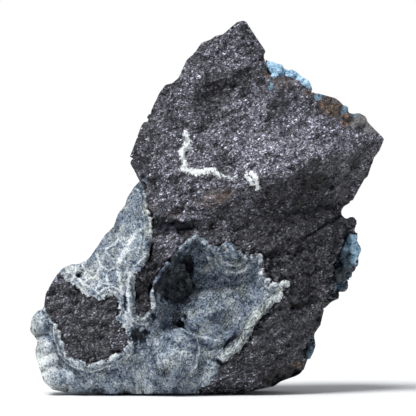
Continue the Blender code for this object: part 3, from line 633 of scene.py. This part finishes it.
def chalcocite_material():
    """Dark metallic grey grains, some turned so that they flash and some painted bright as glints, with
    chalky, rusty and blue films.
    """
    made = Shading("chalcocite")
    grain_cells = made.grains(0.26, 1.9)
    chunks = made.grains(0.7, 1.6)
    grain = made.parts(grain_cells["Color"])
    fine = made.parts(made.grains(0.18, 1.5)["Color"])
    body = rock_body(made, grain, fine, made.parts(chunks["Color"]))
    body, films = filmed(made, body, grain, fine)
    made.feed(made.shader.inputs["Metallic"], made.remap(films, 0.0, 1.0, 0.35, 0.0))
    made.feed(made.shader.inputs["Roughness"], made.remap(films, 0.0, 1.0, 0.36, 0.85))
    broad = made.bump(made.noise(2.4, 4.0, 0.6, 12.0), 0.8, 1.0)
    made.feed(broad.inputs["Normal"], grain_facing(made, grain_cells["Color"], chunks["Color"]))
    gritty = made.bump(made.noise(0.4, 3.0), 0.5, 0.15)
    made.feed(gritty.inputs["Normal"], broad.outputs["Normal"])
    return made.coat(body, gritty.outputs["Normal"])


def crust_tone(made, mottle, wander):
    """Light and dark of the crust: bands along the edges, mottling, fine threads and specks, with painted
    light on the lump tops and painted shade between lumps.
    """
    edge = made.field("edge")
    ripple = made.math("SINE", made.plus(made.times(edge, 5.4), made.times(wander, 11.0)))
    tone = made.plus(made.field("tone"), made.times(ripple, made.remap(edge, 0.6, 4.0, 0.16, 0.03)))
    # Painted light on the tops of the lumps, painted shade between them
    tone = made.plus(tone, made.times(made.field("lump"), 0.15))
    tone = made.plus(tone, made.remap(mottle, 0.3, 0.7, -0.13, 0.13))
    for size, strength in ((1.9, 0.16), (0.9, 0.24)):
        threads = made.math("ABSOLUTE", made.minus(made.noise(size, 2.0, 0.6, 9.0 * size, 0.8), 0.5))
        tone = made.plus(tone, made.remap(threads, 0.012, 0.030, strength, 0.0))
    speck = made.parts(made.grains(0.34)["Color"])
    tone = made.plus(tone, made.remap(speck[0], 0.78, 0.90, 0.0, 0.17))
    return made.minus(tone, made.remap(speck[1], 0.70, 0.80, 0.0, 0.28))


def line_near(made, name, mottle, mottling, near, far):
    """1 on a line of the crust and 0 away from it, with a frayed edge."""
    return made.remap(made.plus(made.field(name), made.times(mottle, mottling)), near, far, 1.0, 0.0)


def crust_lines(made, tone, mottle, wander):
    """Adds the pale rims, cell walls and veins to the tone, and darkens the clefts and pits with painted
    shade.
    """
    width = made.times(made.field("rim_width"), made.remap(wander, 0.3, 0.7, 0.5, 1.6))
    rim = made.remap(made.minus(width, made.field("edge")), -0.2, 0.2)
    rim = made.times(rim, made.remap(mottle, 0.35, 0.6, 0.5, 1.0))
    light = made.math("MAXIMUM", rim, line_near(made, "web", mottle, 1.0, 0.9, 1.5))
    light = made.math("MAXIMUM", light, line_near(made, "vein", mottle, 2.4, 1.5, 2.4))
    tone = made.plus(tone, made.times(light, 0.34))
    # Painted shade in the clefts and pits
    return made.minus(tone, line_near(made, "crack", mottle, 2.6, 1.5, 2.8), clamp=True)


def creamed(made, body, tone, wander):
    """Turns the cream bands, and a few stretches elsewhere, from blue-grey to layered cream."""
    band = made.field("cream")
    cream = made.remap(made.plus(band, made.times(wander, 1.6)), 1.2, 2.3, 0.7, 0.0)
    cream = made.times(cream, made.remap(made.noise(1.9, 3.0, 0.6, 27.0), 0.38, 0.58, 0.55, 1.0))
    cream = made.math("MAXIMUM", cream, made.remap(made.noise(3.6, 3.0, 0.6, 17.0), 0.48, 0.64, 0.0, 0.40))
    strands = made.math("SINE", made.plus(made.times(band, 12.0), made.times(wander, 9.0)))
    layered = made.plus(tone, made.times(strands, 0.26))
    return made.mix(cream, body, made.ramp(layered, CREAM_COLOURS))


def toothed(made, body):
    """Dark grains that bite into the edges of the crust."""
    grain = made.parts(made.grains(0.36)["Color"])
    dark = grain_colour(made, grain, made.parts(made.grains(0.21)["Color"]))
    bite = made.minus(made.field("teeth"), made.noise(0.55, 2.0, 0.6, 7.0))
    return made.mix(made.remap(bite, 0.0, 0.1), body, dark)


def crust_material():
    """Blue-grey crust with bands along its edges, white veins, cream rims and dark clefts."""
    made = Shading("shattuckite_crust")
    wander = made.noise(1.4, 3.0, 0.6, 1.0)
    mottle = made.noise(0.8, 5.0, 0.75, 2.0)
    tone = crust_lines(made, crust_tone(made, mottle, wander), mottle, wander)
    body = toothed(made, creamed(made, made.ramp(tone, CRUST_COLOURS), tone, wander))
    made.shader.inputs["Specular IOR Level"].default_value = 0.22
    made.feed(made.shader.inputs["Roughness"], made.remap(mottle, 0.3, 0.7, 0.45, 0.7))
    height = made.plus(made.noise(0.45, 4.0, 0.65, 5.0), made.times(tone, 0.8))
    return made.coat(body, made.bump(height, 0.8, 0.26).outputs["Normal"])


def bright_blue_material():
    """Light blue, finely fibrous crust, with painted light on its clumps and painted shade in the gaps
    between them.
    """
    made = Shading("bright_blue")
    streak = made.noise(0.6, 5.0, 0.8, 4.0, 0.8)
    speck = made.parts(made.grains(0.33)["Color"])
    tone = made.plus(made.remap(streak, 0.3, 0.7, 0.2, 0.8), made.remap(speck[0], 0.0, 1.0, -0.14, 0.14))
    # Painted light on the tops of the clumps, painted shade between them
    tone = made.plus(tone, made.times(made.field("lump"), 0.22))
    # The tone field holds painted light and shade for each patch
    body = made.scaled(made.ramp(tone, BLUE_COLOURS), made.field("tone"))
    stony = made.remap(made.minus(made.field("stony"), made.noise(0.7, 3.0, 0.6, 8.0)), -0.03, 0.05)
    grain = made.parts(made.grains(0.36)["Color"])
    body = made.mix(stony, body, made.scaled(grain_colour(made, grain, grain), 0.6))
    made.shader.inputs["Roughness"].default_value = 0.6
    return made.coat(body, made.bump(streak, 0.6, 0.3).outputs["Normal"])


def below_brow(points):
    """How far each point is below the crease of the brow."""
    brow_x, brow_z = np.array(BROW).T
    return np.interp(points[:, 0], brow_x, brow_z) - points[:, 2]


def carve_rock(points, outward):
    """How far the front of the chalcocite is set back at each point: a brow, a left bevel, a dark slot."""
    x, z = points[:, 0], points[:, 2]
    below = below_brow(points)
    set_back = 2.0 * (1 - np.exp(-np.clip(below, 0, None) / 2.2)) * (1 - smooth(6, 15, below))
    set_back -= 0.45 * np.exp(-((below + 0.8) / 1.6) ** 2)
    set_back *= smooth(8, 13, x)
    crease = np.array(LEFT_CREASE[::-1])
    left = np.interp(z, crease[:, 1], crease[:, 0]) - x
    set_back += np.clip(left * 1.3, 0, 3.0) * smooth(53, 57, z) * (1 - smooth(76, 79, z))
    set_back += 1.0 * (1 - smooth(0.4, 1.2, patch(points, -9.0, 41.7, 6.0, 1.2)))
    sill = np.interp(x, [8, 10.4, 14.7, 16.7, 19.8, 23.2], [0.5, 1.0, 2.8, 4.8, 5.8, 6.7]) - z
    set_back += np.clip(sill * 1.2, 0, 3.5) * smooth(8, 10, x)
    return set_back * smooth(0.0, 0.4, -outward[:, 1])


def crack_of_rock(points):
    """Distance to the nearest crack of the chalcocite, in half widths of it."""
    return np.min([path_distance(points, path) / width for path, width in CRACKS], axis=0)


def foliated(points):
    """Faint layering of the chalcocite, rising to the right."""
    along = points[:, 0] * math.cos(RISE) + points[:, 2] * math.sin(RISE)
    across = points[:, 2] * math.cos(RISE) - points[:, 0] * math.sin(RISE)
    return clouds(np.stack([along / 4.0, points[:, 1] / 2.0, across], axis=1), 1.5, 3, 4.0)


def clear_of_blue(points):
    """Keeps the front of the chalcocite below the edge of the topmost blue patch."""
    edge_x, edge_z = np.array(BLUE_EDGE).T
    x, z = points[:, 0], points[:, 2]
    beside = (x > edge_x[0]) * (x < edge_x[-1]) * (points[:, 1] < 3)
    over = np.clip(z - np.interp(x, edge_x, edge_z), 0, 3) * beside
    cleared = points.copy()
    cleared[:, 2] -= over * 0.9
    cleared[:, 1] += over * 0.8
    return cleared


def far_side_relief(points, outward):
    """Broken facets and ledges on the sides that the photo does not show."""
    far = smooth(-0.1, 0.5, outward[:, 1])
    broken = shifted(points, 6.0, 1.5, 51.0)
    near, far_off, chance = cells(broken, 10.0, 9.0)
    scarp = (chance - 0.5) * smooth(0.0, 0.12, far_off - near)
    return far * (3.4 * scarp + 1.8 * clouds(points, 9.0, 4, 52.0) - 1.0)


def fill_waist(points, outward):
    """How far the far side moves outward to soften the long notch across it."""
    step = 3.0
    across = np.floor((points[:, 0] + 60) / step).astype(int)
    up = np.floor((points[:, 2] + 15) / step).astype(int)
    depth = np.full((42, 42), -30.0)
    np.maximum.at(depth, (across, up), points[:, 1])
    reach = 3
    raised = np.max([np.roll(depth, shift, axis=1) for shift in range(-reach, reach + 1)], axis=0)
    closed = np.min([np.roll(raised, shift, axis=1) for shift in range(-reach, reach + 1)], axis=0)
    for _ in range(2):
        closed = sum(np.roll(closed, shift, axis=axis) for axis in (0, 1) for shift in (-1, 0, 1)) / 6
    missing = np.clip(closed[across, up] - points[:, 1], 0, 9)
    return 0.8 * missing * smooth(-0.6, 0.2, outward[:, 1]) * smooth(2, 6, points[:, 1])


def survey_rock(points, outward):
    """What is measured at each point of the chalcocite before it moves."""
    bent = shifted(points, 2.0, 0.4, 2.0)
    near, far, chance = cells(bent, 2.1)
    strewn = shifted(points, 1.6, 0.5, 13.0)
    blues = [distance_to(points, surface_tree(node)) for node in BLUE_NODES]
    return SimpleNamespace(
        points=points,
        outward=outward,
        chance=chance,
        gap=smooth(0.0, 0.22, far - near),
        rough=toned(bent, ROUGH_PLACES),
        layers=foliated(points),
        broad=clouds(points, 6.0, 4),
        cracked=crack_of_rock(bent),
        front=smooth(-0.2, 0.15, -outward[:, 1]),
        behind=smooth(-6, -2, points[:, 1]),
        trail=np.minimum(path_distance(strewn, CHALK_TRAIL) / 0.95, path_distance(strewn, CHALK_SPOT) / 0.64),
        faint_trail=path_distance(strewn, CHALK_FAINT),
        near_crust=distance_to(points, surface_tree("shattuckite_crust")),
        near_blue=np.min(blues, axis=0),
    )


def rock_relief(rock):
    """How far each point of the chalcocite moves outward."""
    chunks = 0.60 * (rock.chance - 0.5) + 0.35 * (rock.gap - 0.7) + 0.40 * clouds(rock.points, 1.1, 3, 1.0)
    relief = 0.60 * rock.broad + 0.60 * rock.layers + chunks * rock.rough
    relief -= 0.8 * (1 - smooth(0.3, 1.4, rock.cracked)) * (rock.points[:, 1] < 0)
    fluff = 0.5 + 0.5 * clouds(rock.points, 0.9, 2, 5.0)
    relief += 0.6 * fluff * (1 - smooth(0.3, 1.3, rock.trail)) * rock.front
    relief += far_side_relief(rock.points, rock.outward)
    relief += 0.5 * rock.behind * (1 - smooth(0.5, 2.0, rock.near_crust))
    return relief


def shape_rock(rock):
    """Where each point of the chalcocite ends up."""
    moved = rock.points + rock.outward * rock_relief(rock)[:, None]
    moved[:, 1] += carve_rock(rock.points, rock.outward) + fill_waist(rock.points, rock.outward)
    moved = clear_of_blue(moved)
    moved[:, 1] = np.minimum(moved[:, 1], FARTHEST)
    return fit_outline(moved, rock.outward, smooth(1.5, 3.5, rock.near_blue))


def record_films(piece, rock):
    """Where chalk, stains, specks of blue and thin crust lie on the chalcocite."""
    strength = np.maximum(0.74 - 0.30 * rock.trail, 0.54 - 0.2 * rock.faint_trail)
    record_field(piece, "chalk", np.clip(strength, 0, 1) * rock.front)
    stained = shifted(rock.points, 1.5, 0.6, 3.0)
    for name, places in (("rust", RUST_PLACES), ("ochre", OCHRE_PLACES), ("clay", CLAY_PLACES)):
        record_field(piece, name, covered(stained, places))
    # Navy film, and painted shadow in the slot under the overhang
    record_field(piece, "navy_and_shadow", covered(stained, NAVY_AND_SHADOW_PLACES) * rock.front)
    splash = np.clip(1.3 - 0.4 * rock.near_blue + 1.1 * clouds(rock.points, 3.0, 3, 63.0), 0, 1)
    splash *= smooth(-1, 3, rock.points[:, 1])
    record_field(piece, "azure", np.maximum(covered(stained, AZURE_PLACES), splash))
    flank = flank_of(rock.points, rock.outward, -0.6, -0.2) * (1 - smooth(-10, -4, rock.points[:, 0]))
    lap = rock.behind * np.clip(0.45 * (4.0 - rock.near_crust) + clouds(rock.points, 5.0, 3, 61.0), 0, 2)
    beside = flank * np.clip(0.5 * (4.2 - rock.near_crust) + 1.7 * clouds(rock.points, 3.0, 3, 66.0), 0, 2)
    record_field(piece, "lap", np.maximum(lap, beside))


def rock_tone(rock):
    """How light the grains are at each point of the chalcocite, with painted shade under the brow, in cracks,
    in gaps and in low layers, and a painted highlight above the brow.
    """
    x = rock.points[:, 0]
    # Own tone of the grains, with painted light and shade by place
    tone = toned(shifted(rock.points, 4.0, 1.2, 6.0), ROCK_TONES_AND_LIGHT)
    # Painted light and shade: raised layers and swells lighter, low ones darker
    tone *= np.clip(1 + 0.55 * rock.layers + 0.35 * rock.broad, 0.4, 1.9)
    below = below_brow(rock.points)
    shade = smooth(9, 14, x) * smooth(-0.1, 0.4, below) * (1 - smooth(10, 26, below) * 0.5)
    tone *= 1 - 0.45 * shade
    # Painted highlight on the face just above the brow
    painted_highlight = np.exp(-(np.clip(-below, 0, None) / 6) ** 2) * smooth(3, 12, x) * (below < 0.3)
    tone *= 1 + 0.46 * painted_highlight
    # Painted shade in the gaps between chunks
    tone *= 1 - 0.45 * (1 - rock.gap) * np.clip(rock.rough, 0, 1)
    # Painted shade in the cracks
    tone *= 1 - 0.85 * (1 - smooth(0.5, 1.3, rock.cracked)) * (rock.points[:, 1] < 0)
    # The far side gets the same painted light and shade from its layers and swells
    unseen = 0.9 * np.clip(1 + 0.4 * rock.layers + 0.5 * rock.broad, 0.4, 1.7)
    return tone * rock.front + unseen * (1 - rock.front)


def make_chalcocite():
    """The dark rock, with its films as fields of the mesh."""
    piece = fine_copy("chalcocite_mass", "chalcocite", ROCK_VOXEL, 4)
    thin_back(piece, ROCK_KEPT)
    rock = survey_rock(*spots(piece))
    place(piece, shape_rock(rock))
    record_films(piece, rock)
    record_field(piece, "tone", rock_tone(rock))
    piece.data.materials.append(chalcocite_material())
    return piece


def domes(points, size, seed):
    """Rounded lumps packed side by side: 1 on top of each, 0 between them."""
    near = cells(points, size, seed)[0]
    return np.sqrt(np.clip(1 - (near / 0.85) ** 2, 0, 1))


def wandering_places(points, outward):
    """The points moved about so that the crust's markings wander, most on its flanks."""
    wandering = shifted(shifted(points, 3.0, 0.5, 11.0), 0.9, 0.22, 12.0)
    flank = flank_of(points, outward, -0.75, -0.35)
    return wandering + (shifted(points, 5.0, 3.0, 71.0) - points) * flank[:, None]


def survey_crust(points, outward):
    """What is measured at each point of the crust before it moves."""
    bent = shifted(points, 1.6, 0.35, 1.0)
    behind = smooth(-6, -2, points[:, 1])
    wandering = wandering_places(points, outward)
    lump = 0.45 * domes(bent, 3.4, 2.0) + 0.35 * domes(bent, 1.7, 3.0) + 0.20 * domes(points, 0.8, 4.0)
    return SimpleNamespace(
        points=points,
        outward=outward,
        edge=distance_to(points, surface_tree("chalcocite_mass")),
        lump=lump,
        behind=behind,
        thin_rim=(1 - smooth(0.8, 1.15, patch(points, *THIN_RIM))) * (1 - behind),
        front=smooth(-0.3, 0.2, -outward[:, 1]),
        fore=smooth(-3.0, -5.0, points[:, 1]) > 0.5,
        growth=growth_field(bent),
        pit=1 - smooth(0.7, 1.2, patch(bent, *PIT)),
        wandering=wandering,
        vein=vein_field(wandering),
        web=web_field(wandering),
        crack=crack_field(wandering),
    )


def crust_relief(crust):
    """How far each point of the crust moves outward."""
    points = crust.points
    away = smooth(0.4, 1.8, crust.edge)
    tatters = 0.40 + 0.8 * clouds(points, 0.75, 2, 21.0)
    tatters += crust.behind * (0.4 + 0.9 * clouds(points, 3.0, 3, 22.0))
    tatters = tatters * (1 - crust.thin_rim) + 0.35 * crust.thin_rim
    relief = tatters * (1 - away) + 1.1 * (crust.lump - 0.62) * (0.4 + 0.6 * away)
    relief += 0.16 * clouds(points, 1.1, 3, 2.0)
    relief += 0.8 * crust.growth * crust.front
    relief += 1.4 * clouds(points, 1.7, 3, 31.0) * crust.pit * (points[:, 1] > -14)
    relief += 0.30 * (1 - smooth(0.4, 1.3, np.minimum(crust.vein, crust.web))) * crust.front
    relief -= 0.9 * (1 - smooth(0.3, 1.3, crust.crack)) * crust.front
    return relief


def shape_crust(crust):
    """Where each point of the crust ends up."""
    moved = crust.points + crust.outward * crust_relief(crust)[:, None]
    moved[:, 1] += 2.6 * crust.behind * clouds(crust.points, 5.0, 3, 64.0)
    return fit_outline(moved, crust.outward)


def crust_tones(crust):
    """How light each point of the crust is, with painted light and shade for its folds and rings of painted
    shade around the domes.
    """
    places = crust.wandering
    # Own tone of the crust, with painted shade in the hollow and grooves
    tone = toned(places, CRUST_TONES_AND_SHADE) + 0.08 * clouds(crust.points, 3.0, 3, 23.0)
    x, z, radius, spacing = FOLDS
    # Painted light and shade bands of the folds
    fold_light_and_shade = np.cos((patch(places, x, z, 1, 1) - radius) / spacing * 2 * math.pi)
    tone += 0.13 * fold_light_and_shade * (1 - smooth(0.8, 1.1, patch(places, *FOLDED)))
    # Rings of painted shade around the feet of the domes
    for x, z, radius, width, darkness in DOME_SHADE_RINGS:
        ring = np.abs(patch(places, x, z, 1, 1) - radius) / width
        tone -= darkness * (1 - smooth(0.3, 1.5, ring))
    return tone


def crust_teeth(crust):
    """How deep the dark grains bite into the edges of the crust at each point."""
    points = crust.points
    ragged = 0.55 * clouds(points, 1.9, 2, 81.0)
    ragged += 0.8 * np.clip(clouds(points, 1.3, 2, 82.0), 0, 1) * smooth(4, 7, points[:, 0])
    bays = 1.0 - 0.30 * crust.edge + clouds(points, 5.0, 3, 62.0)
    return np.where(crust.fore, 1.05 - crust.edge * 1.3 - 0.9 * crust.thin_rim + ragged, bays)


def make_crust():
    """The blue-grey crust, with its lines as fields of the mesh."""
    piece = fine_copy("shattuckite_crust", "shattuckite", CRUST_VOXEL, 4)
    crust = survey_crust(*spots(piece))
    place(piece, shape_crust(crust))
    record_field(piece, "edge", crust.edge)
    swelling = np.where(crust.growth > 0, 2.4 * (crust.growth - 0.62), 0.0) * crust.front
    # Lump height, which the colour uses as painted light and shade
    record_field(piece, "lump", (crust.lump - 0.62) * 2.6 + swelling)
    record_field(piece, "teeth", crust_teeth(crust))
    markings = {
        "tone": (crust_tones(crust), 0.48),
        "rim_width": (toned(crust.wandering, RIM_WIDTHS), 1.2),
        "vein": (crust.vein, NOWHERE),
        "web": (crust.web, NOWHERE),
        "crack": (crust.crack, NOWHERE),
        "cream": (cream_field(crust.wandering), NOWHERE),
    }
    for name, (seen, unseen) in markings.items():
        record_field(piece, name, np.where(crust.fore, seen, unseen))
    piece.data.materials.append(crust_material())
    return piece


def growth_field(points):
    """Height of the rounded growths: 1 at the top of each, 0 around them."""
    height = np.zeros(len(points))
    for x, z, radius in GROWTHS:
        height = np.maximum(height, np.clip(1 - patch(points, x, z, radius, radius) ** 2, 0, 1))
    return np.sqrt(height)


def vein_field(points):
    """Distance to the nearest white vein, in half widths of it."""
    veins = [
        (RIDGE_BAND, 0.75), (INNER_BAND, 0.35), (NODULE_OUTER, 0.35), (NODULE_UNDER, 0.14), (DOME_FOOT, 0.22),
        (LOWER_DOME_EDGE, 0.28), (HOLLOW_LEFT_RIM, 0.25), *[(arc, 0.3) for arc in ARCS],
    ]
    return np.min([path_distance(points, path) / width for path, width in veins], axis=0)


def web_field(points):
    """Distance to the walls between the cells of the left slope, in half widths of them."""
    centres = np.array(SLOPE_CELLS)
    spans = np.hypot(points[:, None, 0] - centres[:, 0], points[:, None, 2] - centres[:, 1]) - centres[:, 2]
    order = np.sort(spans, axis=1)
    wall = (order[:, 1] - order[:, 0]) / 0.55
    inner = np.abs(order[:, 0] + 0.75) / 0.28 + 0.5
    return np.where(order[:, 0] < 0.9, np.minimum(wall, inner), NOWHERE)


def crack_field(points):
    """Distance to the nearest cleft or pit, in half widths of it; the colour darkens these as painted shade.
    """
    field = np.minimum(path_distance(points, LEFT_GROOVE) / 0.40, path_distance(points, RIM_GROOVE) / 0.34)
    spread = 1 + 0.45 * clouds(points, 1.8, 3, 41.0)
    for x, z, radius in DARK_PITS:
        field = np.minimum(field, patch(points, x, z, radius, radius) * spread)
    return field


def cream_field(points):
    """Distance to the nearest cream band, in half widths of it."""
    bands = [(CREAM_STRIP, 0.8), (CREAM_LEFT, 1.2), (CREAM_RIM, 1.15)]
    return np.min([path_distance(points, path) / width for path, width in bands], axis=0)


def ragged_ends(points, outward, node):
    """How far the ends of a blue patch move along the depth."""
    layered = points * (1, 0.3, 1)
    far_end = smooth(-0.2, 0.6, outward[:, 1])
    if node == "blue_crust_top":
        return 1.6 * far_end * clouds(layered, 4.5, 2, 73.0) - 1.4 * smooth(-0.2, 0.3, -outward[:, 1])
    ahead = smooth(-0.2, 0.6, -outward[:, 1]) * np.clip(clouds(layered, 3.2, 2, 75.0) + 0.3, 0, 1)
    return 2.2 * far_end * clouds(layered, 4.0, 2, 73.0) - 2.6 * ahead


def make_blue(node, brightness):
    """One bright blue patch, ragged on the far side."""
    piece = fine_copy(node, node.replace("crust", "growth"), BLUE_VOXEL, 3)
    points, outward = spots(piece)
    clump = 0.6 * domes(points, 1.7, 5.0) + 0.4 * domes(points, 0.8, 6.0)
    relief = 0.35 * clouds(points, 1.0, 4, 6.0) + 1.0 * (clump - 0.5) + 0.9 * clouds(points, 2.6, 3, 7.0)
    far = smooth(-1, 4, points[:, 1])
    relief += far * (2.0 * clouds(points, 4.0, 2, 8.0) - 0.6)
    moved = points + outward * relief[:, None]
    moved[:, 1] += ragged_ends(points, outward, node)
    moved[:, 2] += 1.4 * far * clouds(points * (0.3, 1, 0.3), 5.0, 2, 74.0)
    place(piece, fit_outline(moved, outward))
    # Clump height, which the colour uses as painted light and shade
    record_field(piece, "lump", (clump - 0.6) * 2.5)
    near = shifted(points, 1.2, 0.5, 2.0)
    record_field(piece, "stony", covered(near, STONY_PLACES))
    # Painted light and shade: each patch's brightness, darkened where listed, partly as painted shade
    record_field(piece, "tone", brightness * (1 - covered(near, BLUE_DARKS_AND_SHADE)))
    return piece


def make_floor():
    bpy.ops.mesh.primitive_plane_add(size=60.0)
    floor = bpy.context.active_object
    floor.name = "floor"
    material = bpy.data.materials.new("floor")
    material.use_nodes = True
    shader = material.node_tree.nodes["Principled BSDF"]
    shader.inputs["Base Color"].default_value = (0.9, 0.9, 0.9, 1)
    shader.inputs["Roughness"].default_value = 1.0
    shader.inputs["Specular IOR Level"].default_value = 0.0
    floor.data.materials.append(material)


def make_light():
    """One broad soft lamp above and to the left, in a bright room."""
    lamp = bpy.data.lights.new("softbox", "SUN")
    lamp.energy = 3.1
    lamp.angle = math.radians(24)
    holder = bpy.data.objects.new("softbox", lamp)
    bpy.context.scene.collection.objects.link(holder)
    holder.rotation_euler = Vector((0.32, 0.45, -0.86)).to_track_quat("-Z", "Y").to_euler()
    world = bpy.data.worlds.new("studio")
    bpy.context.scene.world = world
    world.use_nodes = True
    nodes, links = world.node_tree.nodes, world.node_tree.links
    glow = nodes["Background"]
    glow.inputs["Color"].default_value = (0.93, 0.96, 1.0, 1)
    glow.inputs["Strength"].default_value = 0.36
    wall = nodes.new("ShaderNodeBackground")
    wall.inputs["Color"].default_value = (1, 1, 1, 1)
    wall.inputs["Strength"].default_value = 1.0
    seen = nodes.new("ShaderNodeLightPath")
    choose = nodes.new("ShaderNodeMixShader")
    links.new(seen.outputs["Is Camera Ray"], choose.inputs["Fac"])
    links.new(glow.outputs["Background"], choose.inputs[1])
    links.new(wall.outputs["Background"], choose.inputs[2])
    links.new(choose.outputs["Shader"], nodes["World Output"].inputs["Surface"])


def make_camera():
    lens = bpy.data.cameras.new("camera")
    lens.sensor_width = SENSOR
    lens.lens = SENSOR * CAMERA_DISTANCE / VIEW_WIDTH
    lens.clip_end = 100.0
    camera = bpy.data.objects.new("camera", lens)
    bpy.context.scene.collection.objects.link(camera)
    camera.location = Vector(VIEW_CENTRE) + Vector((0, -CAMERA_DISTANCE, 0))
    camera.rotation_euler = (math.pi / 2, 0, 0)
    bpy.context.scene.camera = camera


def settle(piece, slot, *nodes):
    """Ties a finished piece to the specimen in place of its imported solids."""
    alone(piece)
    bpy.ops.object.shade_smooth()
    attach(piece, "root")
    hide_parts(*nodes)


make_camera()
make_light()
make_floor()
bpy.context.scene.view_settings.view_transform = "Standard"
settle(make_chalcocite(), "chalcocite", "chalcocite_mass")
settle(make_crust(), "shattuckite_crust", "shattuckite_crust")
blue = bright_blue_material()
for node, brightness in BLUE_NODES.items():
    growth = make_blue(node, brightness)
    growth.data.materials.append(blue)
    settle(growth, "bright_blue", node)
